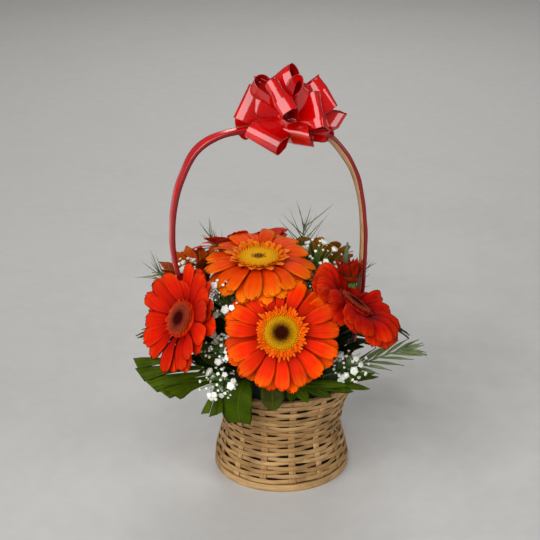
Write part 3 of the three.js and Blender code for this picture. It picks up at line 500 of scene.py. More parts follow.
FLORETS = finishes("disc_", floret_group, {
    "dark_eye": [(0.032, 0.003, 0.0), (0.78, 0.38, 0.004), (0.90, 0.32, 0.004), 0.28, 0.92],
    "yellow": [(0.03, 0.012, 0.001), (0.70, 0.32, 0.004), (0.82, 0.25, 0.004), 0.08, 0.34],
    "red_brown": [(0.045, 0.002, 0.001), (0.36, 0.05, 0.02), (0.55, 0.10, 0.05), 0.35, 0.9],
}, bump=0.4, distance=0.0004, Specular_IOR_Level=0.04)
LEAVES = finishes("leaf_", leaf_group, {
    "bright": [(0.043, 0.078, 0.0005), (0.022, 0.043, 0.0005), (0.075, 0.115, 0.003), 0.05, 70.0, 0.2],
    "green": [(0.030, 0.055, 0.001), (0.012, 0.026, 0.0005), (0.065, 0.10, 0.005), 0.05],
    "deep": [(0.018, 0.042, 0.003), (0.007, 0.018, 0.001), (0.05, 0.09, 0.010), 0.05],
    "olive": [(0.045, 0.055, 0.005), (0.018, 0.022, 0.003), (0.09, 0.10, 0.015), 0.05],
    "grey": [(0.10, 0.15, 0.08), (0.05, 0.085, 0.04), (0.22, 0.28, 0.17), 0.08, 0.0],
    "pleated": [(0.037, 0.066, 0.0005), (0.012, 0.027, 0.0005), (0.105, 0.145, 0.006), 0.04, 0.0, 0.4, 0.45],
    "blade": [(0.038, 0.070, 0.001), (0.013, 0.030, 0.0005), (0.10, 0.15, 0.006), 0.08, 0.0, 0.4, 0.4],
    "needle": [(0.15, 0.21, 0.075), (0.07, 0.11, 0.035), (0.28, 0.34, 0.18), 0.08, 0.0],
}, bump=0.45, distance=0.0008, IOR=1.12)
STEM = finish("stem_green", grainy_group, [(0.10, 0.22, 0.03), (0.06, 0.15, 0.02), (0.22, 0.34, 0.08), 500.0],
              bump=0.2, distance=0.0004)
WHITE_PETAL = finish("floret_white", grainy_group,
                     [(0.88, 0.87, 0.80), (0.70, 0.74, 0.62), (0.96, 0.96, 0.93), 700.0],
                     bump=0.1, distance=0.0004, Subsurface_Weight=0.15, Subsurface_Scale=0.002)
BAMBOO = finish("bamboo_weave", bamboo_group,
                [(0.43, 0.24, 0.090), (0.60, 0.37, 0.160), (0.15, 0.074, 0.024), (0.05, 0.022, 0.006)],
                bump=0.6, distance=0.0006, Specular_IOR_Level=0.2)
CANE = finish("bamboo_handle", bamboo_group,
              [(0.52, 0.31, 0.12), (0.66, 0.44, 0.19), (0.32, 0.17, 0.06), (0.16, 0.08, 0.03)],
              bump=0.3, distance=0.0004, Specular_IOR_Level=0.3)
# The bow's Edge colour is painted shade along the ribbon's edges.
SATIN = finish("ribbon_satin", satin_group, [(0.62, 0.0, 0.0), (0.40, 0.0, 0.0), (0.30, 0.0, 0.0)], bump=0.04,
               distance=0.0002, Specular_IOR_Level=0.1, Coat_Weight=1.0, Coat_Roughness=0.08, Coat_IOR=1.68)
# The handle ribbon's Edge colour, from 0.6 of the way out, is painted shade on its wraps over the strip's two
# edges.
HANDLE_SATIN = finish("ribbon_satin_handle", satin_group,
                      [(0.62, 0.002, 0.004), (0.50, 0.001, 0.003), (0.10, 0.0, 0.002), 0.6], bump=0.04,
                      distance=0.0002, Specular_IOR_Level=0.4, Coat_Weight=0.4, Coat_Roughness=0.2)
FOAM = finish("foam_wet", grainy_group,
              [(0.02, 0.06, 0.025), (0.008, 0.025, 0.01), (0.04, 0.09, 0.03), 900.0],
              bump=1.0, distance=0.002)
FILM = finish("liner_film", grainy_group,
              [(0.020, 0.024, 0.018), (0.012, 0.015, 0.010), (0.035, 0.04, 0.03), 30.0],
              bump=0.2, distance=0.002, Specular_IOR_Level=0.3)
PALE_FLOOR = finish("floor_pale", grainy_group,
                    [(0.62, 0.61, 0.59), (0.60, 0.59, 0.57), (0.64, 0.63, 0.61), 8.0], bump=0)

# Basket

# Height and radius of the basket's outer side
PROFILE = np.array([
    [0, 65.4], [8, 65.6], [14, 64.5], [26, 61.5], [38, 58.6], [46, 56.5], [63, 60.5], [81, 66], [100, 71.5],
])
STAKES = 14
AROUND = angles(216)
# Section of a band as shares of its thickness and height, and of a stake in millimetres
BAND_SECTION = np.array([
    [-0.5, -0.36], [-0.32, -0.5], [0.32, -0.5], [0.5, -0.36],
    [0.5, 0.36], [0.32, 0.5], [-0.32, 0.5], [-0.5, 0.36],
])
STAKE_SECTION = np.array([[-2.9, 0.4], [-3.3, 0], [-2.9, -0.4], [2.9, -0.4], [3.3, 0], [2.9, 0.4]])
# Thickness of the weavers, and how far inside the outer side their middles and the stakes' lie
WEAVER_THICKNESS = 1.05
WEAVER_INSET = 1.1
STAKE_INSET = 1.15
# Height and radius of each band's middle, its thickness, height and shade, and its outward lean
FOOT_BANDS = [(3.6, 64.6, 1.7, 6.9, 0.75), (3.5, 62.6, 1.5, 6.6, 0.3)]
RIM_BANDS = [(97.5, 70.9, 1.6, 5.0, 0.7, 0.28), (97.5, 68.0, 1.4, 4.8, 0.35, 0.28)]
RIM_MIDDLE = (69.5, 97.5)
LASHING_TURNS = 46
LASHING_RADIUS = 0.55


def basket_radius(z):
    """Radius of the basket's outer side at a height."""
    return np.interp(z, PROFILE[:, 0], PROFILE[:, 1])


def ring_band(z, radius, thickness, tall, shade, lean=0.0, wobble=0.0, turn=0.0):
    """A flat strip bent into a ring: its middle is at the radius, and at height z with two sine
    waves of wobble, and its section is a rounded oblong set along the basket's side."""
    height = z + wobble * np.sin(3 * AROUND + turn) + 0.5 * wobble * np.sin(7 * AROUND + 2 * turn)
    out = level_way(AROUND)
    middle = out * (radius + 0 * AROUND)[:, None] + UP * height[:, None]
    side, rise = unit(out - lean * UP), unit(UP + lean * out)
    rings = section_rings(middle, side, rise, BAND_SECTION * (thickness, tall))
    return tubes(rings[None], along=AROUND / TAU * 4, shade=shade, loop=True)


def weave():
    """Weavers as rings that pass outside one stake and inside the next, a row offset by one
    stake each time, and packed closer above the waist. The stakes swell outward where a weaver
    passes behind them, so the face is nearly flush and shows dark slits beside each stake."""
    random = np.random.default_rng(5)
    bottom, top, rows = 8.6, 94.4, 20
    pitch = (top - bottom) / rows
    squareness, swing, unevenness, wobble, stake_swell = 2.6, 0.95, 0.22, 0.75, 0.55
    wave = np.tanh(squareness * np.sin(AROUND * STAKES / 2 + 0.35)) / np.tanh(squareness)
    parts = []
    for row in range(rows):
        z = bottom + (row + 0.5) * pitch
        side = 1 if row % 2 else -1
        lean = float(basket_radius(z + 2) - basket_radius(z - 2)) / 4
        radius = float(basket_radius(z)) - WEAVER_INSET + side * swing * wave
        radius = radius + unevenness * np.sin(5 * AROUND + z)
        closer = float(np.interp(z, [40, 60], [0, 0.07]))
        tall = pitch * (0.85 + closer + 0.13 * random.random())
        turn = 6.28 * random.random()
        parts.append(ring_band(z, radius, WEAVER_THICKNESS, tall, random.random(), lean, wobble, turn))
    z = np.linspace(8.5, 94.5, 4 * rows + 1)
    index = np.arange(STAKES)
    out = level_way((index + 0.5) * TAU / STAKES - 0.7 / STAKES)[:, None, :]
    swell = np.sin(np.pi * (z - bottom) / pitch) * np.where(index % 2, -1, 1)[:, None]
    swell = stake_swell * np.tanh(2 * swell)
    line = out * (basket_radius(z) - STAKE_INSET + swell)[..., None] + UP * z[:, None]
    rings = section_rings(line, np.cross(UP, out), out, STAKE_SECTION)
    parts.append(tubes(rings, shade=random.random(STAKES)))
    return joined(*parts)


def hoops():
    """Foot hoop and rim as pairs of flat bands, with a lashing wound round the rim."""
    steps_a_turn = 12
    a = angles(LASHING_TURNS * steps_a_turn)
    radius = RIM_MIDDLE[0] + 2.5 * np.cos(LASHING_TURNS * a)
    height = RIM_MIDDLE[1] + 2.9 * np.sin(LASHING_TURNS * a)
    line = level_way(a) * radius[:, None] + UP * height[:, None]
    rings = round_rods(np.concatenate([line, line[:1]])[None], LASHING_RADIUS, 5)[:, :-1]
    foot, rim = ([ring_band(*band) for band in bands] for bands in (FOOT_BANDS, RIM_BANDS))
    return joined(*foot), joined(*rim, tubes(rings, shade=0.5, loop=True))


foot_hoop, rim = hoops()
piece("woven_wall", weave(), BAMBOO, ["basket_wall"])
piece("foot_hoop", foot_hoop, BAMBOO, ["basket_foot_hoop"])
piece("bound_rim", rim, BAMBOO, ["basket_rim"])

# Handle and its ribbon

# Thickness and width of the strip, how far inside the basket's outer side its feet run, and of
# its ribbon the height that it starts at, its clearance and its thickness
STRIP = (3.0, 12.5)
FOOT_INSET = 6.7
RIBBON_START = 104.0
RIBBON_GAP = 0.3
RIBBON_THICK = 0.55
# The arch's middle line from the left wall to the right, as X and Z
ARCH = [
    [-87, 176], [-95.5, 200], [-101.1, 222], [-102.8, 246], [-100.5, 275], [-93.6, 301],
    [-79, 328], [-59, 340.5], [-38, 344.2], [-12, 344.6], [14, 342.2], [40.1, 334],
    [56.3, 316.6], [68, 295], [75, 268], [78, 240], [78.3, 210], [76, 170],
]


def handle_line(count):
    """The arch's middle line, from inside the left wall over the top to inside the right wall."""
    feet = np.array([46.0, 63.0, 81.0, 100.0])
    seat = basket_radius(feet) - FOOT_INSET
    points = np.vstack([np.stack([-seat, feet], -1), ARCH, np.stack([seat, feet], -1)[::-1]])
    points = np.stack([points[:, 0], 0 * points[:, 0], points[:, 1]], -1)
    return even_steps(smooth_curve(points, np.linspace(0, 1, 1200)), count)


def along_handle(line, section, shade, length, around=None):
    """A section (out from the middle line, along Y) carried along the handle, which is twisted
    about its own line beside the bow."""
    run = runs(line)
    twist = np.radians(-22) * np.interp(line[:, 0], [12, 34, 60, 76], [0, 1, 0.8, 0]) * (line[:, 2] > 200)
    out, across = (turned_about(way, run, twist[:, None]) for way in (np.cross(run, ALONG_Y), ALONG_Y))
    rings = section_rings(line, out, across, np.asarray(section))
    return tubes(rings[None], around=around, along=np.linspace(0, length, len(line)), shade=shade)


def handle_strip(line):
    """A flat strip with bevelled edges."""
    u, v = STRIP[0] / 2, STRIP[1] / 2
    lower = [[-u, -v + 0.8], [-u + 0.7, -v], [u - 0.7, -v], [u, -v + 0.8]]
    upper = [[u, v - 0.8], [u - 0.7, v], [-u + 0.7, v], [-u, v - 0.8]]
    return along_handle(line, lower + upper, 0.6, 6.0)


def handle_ribbon(line):
    """Ribbon over the outer face and both edges. It stands a little proud in slow waves, and
    leaves the far edge bare left of the bow. Returns its skin, its width when spread flat, and
    its length."""
    covered = line[line[:, 2] > RIBBON_START]
    u, v, t = STRIP[0] / 2 + RIBBON_GAP, STRIP[1] / 2 + RIBBON_GAP, RIBBON_THICK
    outer = [[-u + 0.3, -v - t], [u - 0.2, -v - t], [u + t, -v + 0.4], [u + t + 0.25, -v / 2],
             [u + t + 0.35, 0],
             [u + t + 0.25, v / 2], [u + t, v - 0.4], [u - 0.2, v + t], [-u + 0.3, v + t]]
    inner = [[-u + 0.3, v], [u - 0.1, v], [u, v - 0.2], [u, 0], [u, -v + 0.2], [u - 0.1, -v], [-u + 0.3, -v]]
    section = np.tile(np.array(outer + inner), (len(covered), 1, 1))
    s = np.linspace(0, 60, len(covered))[:, None]
    section[:, 2:7, 0] += 0.14 * (np.sin(1.1 * s) + np.sin(2.3 * s + 1)) + 0.14
    bare = 0.8 * np.interp(covered[:, 0], [-80, -45, -15, 0], [0, 1, 1, 0]) * (covered[:, 2] > 300)
    section[..., 1] *= np.where(section[..., 1] > 0, 1 - bare[:, None], 1)
    around = [0, 0.15, 0.2, 0.35, 0.5, 0.65, 0.8, 0.85, 1, 0.9, 0.85, 0.8, 0.5, 0.2, 0.15, 0.1, 0]
    return along_handle(covered, section, 0.5, 20.0, around), distances(outer)[-1], distances(covered)[-1]


arch = handle_line(240)
piece("cane_strip", handle_strip(arch), CANE, ["handle_strip"])
ribbon_skin, ribbon_girth, ribbon_length = handle_ribbon(arch)
ribbon = piece("handle_satin", ribbon_skin, HANDLE_SATIN, ["handle_ribbon"])

# Bow

BOW_CENTRE = np.array([5.0, -5.0, 353.0])
BOW_RIBBON = 33.0
BOW_ROOT = 8.0
# Half the ribbon's thickness, and the share of a loop's length where its flat faces end
BOW_THICK = 0.3
BOW_TURN = 0.80
# Middle of the turn from the knot, direction of the ribbon's width there, half its opening, power
# that squares the turn where it is under 1, height and side of the creases
BOW_LOOPS = [
    ((-3, 29, 34), (0.69, -0.30, 0.66), 10.0, 1.00, 1.0, 0.20),
    ((-30, 19, 28), (0.11, -0.68, 0.72), 10.0, 0.90, 1.0, 0.10),
    ((-40, 17, 15), (0.47, 0.13, 0.87), 7.4, 0.50, 0.1, -0.20),
    ((-29, 14, 21), (-0.16, -0.54, -0.82), 4.3, 0.54, 4.6, -0.46),
    ((-14, -24, 31), (0.39, -0.60, -0.70), 7.3, 0.72, 2.3, -0.11),
    ((15, -2, 31), (0.47, 0.51, -0.72), 6.0, 1.00, 6.0, -0.36),
    ((36, 1, 25), (0.46, -0.40, -0.79), 5.0, 1.00, 2.1, -0.55),
    ((30, -10, 9), (0.07, -0.55, -0.83), 13.0, 0.50, 1.1, 0.12),
    ((43, 7, -12), (0.74, 0.21, 0.63), 9.8, 0.51, 5.6, -0.25),
    ((-32, -28, -10), (0.73, -0.60, -0.34), 8.2, 0.99, 0.0, -0.37),
    ((2, -16, -14), (0.81, -0.57, -0.12), 12.9, 0.50, 2.1, -0.55),
    ((22, 44, 5), (0.96, 0.28, -0.04), 9.3, 0.50, 1.6, -0.18),
    ((-27, 33, -12), (1.00, 0.08, 0.01), 13.0, 1.00, 3.2, 0.51),
    ((35, 11, -11), (-0.31, 0.84, 0.46), 9.5, 1.00, 1.5, -0.55),
]


def bow_loop(index, tip, width_way, bulge, power, fold, side_of_fold):
    """A loop of ribbon: two flat faces part from the knot like a wedge, and half a superellipse
    joins them at its end. It widens from its gathered root, two sharp creases run along it, and its
    width turns from square across at the root to the given direction at the end. Returns its skin
    and its length."""
    random = np.random.default_rng(40 + index)
    tip, width_way = np.array(tip, float), np.array(width_way)
    length, out = np.linalg.norm(tip), unit(tip)
    level = square_to(width_way, out)
    lift = np.cross(level, out)
    face_far = np.linspace(0, BOW_TURN, 9)
    turn = np.linspace(np.pi / 2, -np.pi / 2, 15)[1:-1]
    far = np.concatenate([face_far, BOW_TURN + (1 - BOW_TURN) * np.cos(turn) ** power, face_far[::-1]])
    round_high = np.sign(turn) * np.abs(np.sin(turn)) ** power
    high = np.concatenate([face_far / BOW_TURN, round_high, -face_far[::-1] / BOW_TURN])
    centre = BOW_CENTRE + out * (length * far)[:, None] + lift * (bulge * high)[:, None]
    across = level + (width_way - level) * (far**2)[:, None]
    across = turned_about(across, out, np.radians(14 * (random.random() - 0.5) * high)[:, None])
    face = unit(np.cross(runs(centre), across))
    half = (BOW_ROOT + (BOW_RIBBON - BOW_ROOT) * np.minimum(far / 0.6, 1) ** 0.8) / 2
    first, second = side_of_fold - 0.32, side_of_fold + 0.34
    creased = [at + beside for at in (first, second) for beside in (-0.04, 0, 0.04)]
    u = np.array([-1, -0.97, *creased, 0.97, 1])
    fade = np.interp(far, [0, 0.45, 0.8, 1], [0.9, 1.1, 0.8, 0.45])[:, None]
    crease = fold * fade * np.interp(u, [-1, first, second, 1], [-0.5, 0.7, -0.6, 0.5])
    upper = np.stack([half[:, None] * u, crease + BOW_THICK], -1)
    under = np.stack([half[:, None] * u[::-1], crease[:, ::-1] - BOW_THICK], -1)
    rings = section_rings(centre, across, face, np.concatenate([upper, under], 1))
    around = np.concatenate([(u + 1) / 2, (u[::-1] + 1) / 2, [0]])
    spent = distances(centre)
    return tubes(rings[None], around=around, along=spent / 100, shade=random.random()), spent[-1]


def knot():
    """A drawn-in knot of ribbon and the three turns of the tie that go round the handle."""
    z = np.linspace(-8, 9, 9)
    radius = np.interp(z, [-8, -4, 4, 9], [6, 11, 11, 5])
    parts = [tubes(round_rods((BOW_CENTRE + UP * z[:, None])[None], radius, 14), shade=0.4)]
    a = angles(32)
    near = arch[np.argmin(np.abs(arch[:, 0] - BOW_CENTRE[0]) + (arch[:, 2] < 300) * 1e3)]
    section = np.array([[-2.4, 0.3], [2.4, 0.3], [2.4, -0.3], [-2.4, -0.3]])
    for x in (-4.5, 0.0, 4.5):
        turn = np.stack([x + 0.8 * np.sin(a), 8.6 * np.cos(a), 4.0 * np.sin(a)], -1)
        turn[:, 1] = turn[:, 1].clip(-8.2, 8.2)
        rings = section_rings(near + turn, np.array([[1.0, 0, 0]]), unit(turn * (0, 1, 1)), section)
        parts.append(tubes(rings[None], shade=0.5, loop=True))
    return joined(*parts)


loops = [bow_loop(i, *spec) for i, spec in enumerate(BOW_LOOPS)]
bow = piece("satin_bow", joined(*[loop for loop, _ in loops]), SATIN, ["bow"])
piece("bow_knot", knot(), SATIN)

# Gerberas

# The point under the foam's top that the stems aim from, and how far from it they stay straight
STEM_FOCUS = np.array([0.0, 0.0, 70.0])
SHANK_END = 73.0
BLOOM_STEM_RADIUS = 2.5
PETAL_ROOT = 0.3
HUB_THICKNESS = 6.5
HUB_RADIUS = 0.35
LAYER_HEIGHTS = np.array([-2.9, -4.9])
# Name, disc centre, facing, reach, petals a layer in the solid, rise, curl, sag, petals, disc and
# its share of the reach, the side whose petals hang with how far those opposite stand up and
# these hang, and the solid's petals (layer, place) with their bend and share of the full length
GERBERAS = [
    ("gerbera_top", (-25, -13, 224), (-102, 84), 52.5, 12, 9, 26, 5, "orange", "yellow", 0.38,
     ((-0.2, -1, 0), 20, 10), {}),
    ("gerbera_front", (-18, -79, 177), (-101, 33), 53, 13, 9, 12, 0, "flame", "dark_eye", 0.33,
     ((0, 0, -1), 0, 8),
     {(0, 2): (-32, 1), (0, 3): (-34, 1), (0, 4): (-34, 1), (0, 5): (-20, 1), (1, 1): (-12, 1),
      (1, 2): (-34, 1), (1, 3): (-34, 1), (1, 4): (-26, 1)}),
    ("gerbera_right", (58, -50, 186), (2, 52), 50, 11, 14, 5, 3, "crimson", "red_brown", 0.30,
     ((-0.35, -0.9, -0.2), 20, 44),
     {(0, 0): (-32, 1), (0, 2): (10, 1), (0, 10): (-32, 1), (1, 3): (10, 1), (1, 10): (10, 1)}),
    ("gerbera_left", (-102, -29, 176), (-160, 30), 51, 11, 19, 6, 0, "red", "red_brown", 0.28,
     ((0.3, 0, -1), 4, 34),
     {(0, 4): (45, 1), (1, 3): (45, 0.7), (1, 4): (20, 1)}),
    ("gerbera_back_left", (-76, 49, 183), (150, 70), 46, 9, 66, 20, 1, "rust", "red_brown", 0.33,
     ((-1, -0.3, 0), 0, 42),
     {(0, 4): (-45, 1), (0, 8): (32, 1), (1, 3): (45, 0.85), (1, 8): (32, 1)}),
    ("gerbera_back_mid", (-28, 66, 205), (105, 70), 49, 9, 26, 26, 2, "red", "yellow", 0.33,
     ((0, 1, 0), 10, 0),
     {(0, 0): (0, 0), (0, 1): (32, 1), (0, 2): (20, 1), (1, 0): (0, 0), (1, 1): (-10, 1),
      (1, 2): (10, 1), (1, 8): (0, 0)}),
    ("gerbera_back_right", (46, 40, 192), (66, 52), 38, 9, 50, 20, 1, "amber", "yellow", 0.33,
     ((0, 1, 0), 8, 0),
     {(0, 1): (32, 1), (1, 1): (45, 1)}),
    ("gerbera_back_low", (12, 92, 150), (82, 26), 44, 9, 12, 22, 3, "orange", "dark_eye", 0.33,
     ((0, 0, -1), 0, 12),
     {(0, 4): (45, 0.7), (1, 3): (0, 0)}),
]
BUD = ("bud_right", (62, -12, 198), (40, 80), 27, 6, 78, 0, 0, "dusk", "red_brown", 0.2,
       ((0, 1, 0), 0, 0), {})
# Blooms that are seen from behind, with pointed petals
POINTED = {"gerbera_back_left", "bud_right"}
# Petals near some directions that turn their faces about their own length, and the most degrees
TURNED = {"gerbera_right": [((-0.79, 0, 0.61), -55), ((0.75, -0.1, -0.65), 60)]}
# Length of the inner florets where it isn't 1, and width of the petals as a share of their even
# spacing where it isn't 0.9
FRINGE = {"gerbera_top": 1.3, "gerbera_right": 0.6, "gerbera_left": 0.6}
BROAD = {"gerbera_right": 1.3, "gerbera_left": 1.15, "bud_right": 0.42, "gerbera_top": 1.08,
         "gerbera_back_mid": 1.2, "gerbera_front": 1.0}
# Rows of inner florets: start from the disc's edge and length as shares of the reach, first and
# last slope in degrees, and half width
FRINGE_ROWS = np.array([[-0.045, 0.08, 66, 25, 0.95], [-0.03, 0.12, 48, 10, 1.2], [-0.015, 0.17, 30, 4, 1.4]])
# Depth under the disc and width as a share of the hub's, for the cup's rings
CUP_DEPTH = np.array([26.5, 23.5, 20.5, 17.5, 14.5, 11.5, 9.0, 7.4])
CUP_WIDTH = np.array([0.155, 0.2, 0.33, 0.52, 0.68, 0.76, 0.79, 0.78])
BRACTS = 36


def from_focus(target, far):
    """Points at some distances from the stems' focus toward a target."""
    aim = unit(np.array(target, float) - STEM_FOCUS)
    return STEM_FOCUS + aim * np.asarray(far)[..., None]


class Bloom:
    """Place, axes and sizes of one gerbera."""

    def __init__(self, name, at, facing, reach, petals, rise, curl, sag, petal, disc, disc_share, lean, bent):
        self.name, self.at, self.reach, self.petals = name, np.array(at, float), reach, petals
        self.rise, self.curl, self.sag, self.petal, self.disc = rise, curl, sag, petal, disc
        self.disc_share, self.lean, self.bent = disc_share, lean, bent
        self.normal = toward(*facing)
        self.across = unit(np.cross(UP, self.normal))
        self.along = np.cross(self.normal, self.across)
        self.random = np.random.default_rng(sum(ord(c) for c in name))

    def out(self, angle):
        """Unit vectors from the axis at angles round it."""
        return self.across * np.cos(angle)[..., None] + self.along * np.sin(angle)[..., None]

    def ring(self, radius, height, angle):
        """Points at a share of the reach from the axis and a height over the disc's plane."""
        return self.at + self.out(angle) * (self.reach * radius)[..., None] + self.normal * height[..., None]

    def rings(self, radii, heights, sides):
        """Stacked rings round the axis, one for each radius and height."""
        return self.ring(np.array(radii)[:, None], np.array(heights)[:, None], angles(sides))[None]

    def arcs(self, angle, start, height, first, last, length, s):
        """Lines from a start radius and height outward, whose slope goes evenly from first to
        last, and the directions that stand square on their upper side."""
        fall = np.where(np.abs(first - last) < 1e-3, 1e-3, first - last)[:, None]
        first, length = first[:, None], length[:, None]
        slope = first - fall * s
        run = np.reshape(start, (-1, 1)) + length * (np.sin(first) - np.sin(slope)) / fall
        lift = np.reshape(height, (-1, 1)) + length * (np.cos(slope) - np.cos(first)) / fall
        out = self.out(angle)[:, None, :]
        line = self.at + out * run[..., None] + self.normal * lift[..., None]
        return line, self.normal * np.cos(slope)[..., None] - out * np.sin(slope)[..., None]


def petal_half(s):
    """Half width of a petal as a share of its widest: narrow root, straight sides, blunt tip."""
    return np.interp(s, [0, 0.12, 0.28, 0.45, 0.62, 0.8, 0.9, 0.955, 0.985, 1.0],
                     [0.28, 0.42, 0.70, 0.90, 1.0, 0.98, 0.92, 0.80, 0.64, 0.44])


def rows_of(count, rows):
    """Row and place of each of the petals, with count of them in a row."""
    return (a.reshape(-1) for a in np.meshgrid(np.arange(rows), np.arange(count), indexing="ij"))


def ray_petals(bloom):
    """Two layers of strap petals with blunt, notched tips and two long grooves. Each takes the
    bend of the solid's petal nearest to its angle, and stands up or hangs by the cosine of its
    angle from the leaning side."""
    count = round(1.26 * bloom.petals)
    layer, index = rows_of(count, 2)
    near = np.round((index + layer / 2) / count * bloom.petals - layer / 2).astype(int) % bloom.petals
    bend, share = np.array([bloom.bent.get((a, b), (0, 1)) for a, b in zip(layer, near)], float).T
    kept = share > 0
    layer, index, bend, share = layer[kept], index[kept], bend[kept], share[kept]
    jitter = bloom.random.normal(size=(6, len(layer))).clip(-1.7, 1.7)
    angle = TAU * (index + layer / 2) / count + 0.06 * jitter[0]
    side, stand, hang = bloom.lean
    toward_side = bloom.out(angle) @ unit(np.array(side, float))
    length = (1 - PETAL_ROOT) * bloom.reach * share * (0.975 + 0.04 * jitter[1])
    rise = np.radians(bloom.rise - 6 * layer + 1.5 * jitter[2] + stand * (-toward_side).clip(0))
    fall = np.radians(bloom.curl - bend + 6 * jitter[3] + hang * toward_side.clip(0))
    s = 1 - (1 - np.linspace(0, 1, 17)) ** 1.35
    root = PETAL_ROOT * bloom.reach
    line, upper = bloom.arcs(angle, root, LAYER_HEIGHTS[layer], rise, rise - fall, length, s)
    line = line - UP * (bloom.sag * s * s)[..., None]
    ahead = runs(line)
    for way, most in TURNED.get(bloom.name, []):
        roll = np.radians(most) * (bloom.out(angle) @ np.array(way)).clip(0)[:, None, None]
        upper = turned_about(upper, ahead, roll * np.minimum(2 * s, 1)[:, None])
    widest = TAU * 0.74 * bloom.reach * BROAD.get(bloom.name, 0.90) / count
    half = widest / 2 * petal_half(s) * (1 + 0.09 * jitter[4][:, None])
    if bloom.name in POINTED:
        half = half * np.interp(s, [0.5, 0.8, 1.0], [1.0, 0.72, 0.2])
    t, on_top = blade_section(9)
    groove = -0.75 * np.exp(-((np.abs(t) - 0.36) / 0.15) ** 2) - 0.7 * np.abs(t) ** 2.2
    swell = np.sin(np.pi * np.clip(s, 0.02, 0.98))[:, None] ** 0.4
    wave = 0.5 * np.sin(7 * s + 3 * jitter[5][:, None])[..., None] * t
    height = (1.0 + groove) * swell - (1 - on_top) * 0.5 * (1 - t**2)
    height = height + wave + (0.09 + 0.10 * jitter[5])[:, None, None] * t * half[..., None]
    rings = section_rings(line, np.cross(upper, ahead), upper, np.stack([half[..., None] * t, height], -1))
    teeth = (1.5 + 0.3 * jitter[2])[:, None] * np.cos((2.8 * t + 0.4 * jitter[4][:, None]) * np.pi)
    teeth = (teeth - (1.4 + 0.5 * jitter[1][:, None]) * t**2) * bloom.reach / 52
    rings = rings + ahead[..., None, :] * (teeth[:, None, :] * s[:, None] ** 9)[..., None]
    return tubes(rings, around=(np.append(t, -1) + 1) / 2, along=s, shade=bloom.random.random(len(layer)))


def fringe(bloom):
    """Inner florets in three rows: each starts steep beside the disc and arches outward as its
    slope falls evenly, longer and lower row by row. Those of the top bloom are fewer and broad."""
    broad = bloom.name == "gerbera_top"
    per_row = 17 if broad else 46
    row, index = rows_of(per_row, len(FRINGE_ROWS))
    start, length, first, last, half = FRINGE_ROWS[row].T
    jitter = bloom.random.random((4, len(row)))
    angle = TAU * (index + 0.4 * row + 0.5 * jitter[0]) / per_row
    start = (bloom.disc_share + start) * bloom.reach
    length = length * bloom.reach * (0.6 + 0.6 * jitter[1]) * FRINGE.get(bloom.name, 1)
    first = np.radians(first + 16 * (jitter[2] - 0.5))
    last = np.radians(last + bloom.rise - 9 + 24 * (jitter[3] - 0.5))
    line, upper = bloom.arcs(angle, start, 0.2, first, last, length, np.linspace(0, 1, 6))
    half = (half * (2.8 if broad else 1))[:, None] * np.array([0.6, 0.9, 1.0, 0.98, 0.8, 0.4])
    return blades(line, upper, half, 0.45, 5, bloom.random.random(len(row)), lambda s, t: 0.35 * t**2)


def disc_florets(bloom):
    """Small stub florets in a spiral on a low dome with a dimpled eye, over a bed."""
    count = 300
    k = np.arange(count) + 0.5
    share = np.sqrt(k / count)
    angle = k * GOLDEN_TURN
    radius = bloom.disc_share - 0.015
    flat = 0.5 if bloom.disc == "yellow" else 1.0
    dome = flat * (3.2 * np.cos(share * 1.25) - 1.5 * np.exp(-((share / 0.3) ** 2))) + 0.4
    root = bloom.ring(radius * share, dome - 1.2, angle)
    aim = unit(bloom.normal + 0.75 * share[:, None] ** 2 * bloom.out(angle))
    tall = 1.4 + 1.3 * share**3 + 0.6 * bloom.random.random(count)
    line = straight(root, aim, tall, np.array([0, 0.6, 1.0]))
    slit = (np.abs(share * np.sin(angle)) < 0.20) & (np.abs(share * np.cos(angle)) < 0.38)
    tone = np.where(slit & (bloom.disc == "yellow"), -0.3, share)
    stubs = tubes(round_rods(line, radius / 0.315 * 0.68 * np.array([0.9, 1.0, 0.45]), 5), shade=tone)
    wide = radius * np.array([0.97, 1.0, 0.8, 0.5, 0.16])
    high = [0.0, 0.8, 1.0 + flat, 1 + 1.9 * flat, 0.8 + 1.2 * flat]
    return joined(stubs, tubes(bloom.rings(wide, high, 24), shade=(wide / radius)[None, :, None]))


def bloom_stem(bloom):
    """Stem from the foam to the head, the cup under the head, and pointed green bracts on it."""
    foot = bloom.at - bloom.normal * (HUB_THICKNESS + 16)
    a, b = from_focus(foot, [SHANK_END, SHANK_END + 16])
    c, d = foot - bloom.normal * 20, foot
    t = np.linspace(0, 1, 18)[:12, None]
    bend = a * (1 - t) ** 3 + 3 * b * t * (1 - t) ** 2 + 3 * c * t**2 * (1 - t) + d * t**3
    neck = bloom.at - bloom.normal * np.array([CUP_DEPTH[0], 24.0])[:, None]
    stem = np.concatenate([from_focus(foot, np.linspace(22, SHANK_END - 1.5, 6)), bend, neck])
    rod = tubes(round_rods(even_steps(stem, 34)[None], BLOOM_STEM_RADIUS, 10), shade=0.5)
    cup = tubes(bloom.rings(CUP_WIDTH * HUB_RADIUS, -CUP_DEPTH, 20), shade=0.3)
    angle = angles(BRACTS) + 0.1 * bloom.random.random(BRACTS)
    s = np.linspace(0, 1, 5)
    down = np.array([19.0, 16.0, 13.0])[np.arange(BRACTS) % 3][:, None] - 7.5 * s
    radius = np.interp(down, CUP_DEPTH[::-1], CUP_WIDTH[::-1]) * HUB_RADIUS * bloom.reach + 0.35 + 0.5 * s
    out = bloom.out(angle)[:, None, :]
    line = bloom.at + out * radius[..., None] - bloom.normal * down[..., None]
    half = 1.5 * np.array([0.7, 1.0, 0.9, 0.6, 0.12])
    return joined(rod, cup, blades(line, out, half, 0.5, 3, bloom.random.random(BRACTS)))


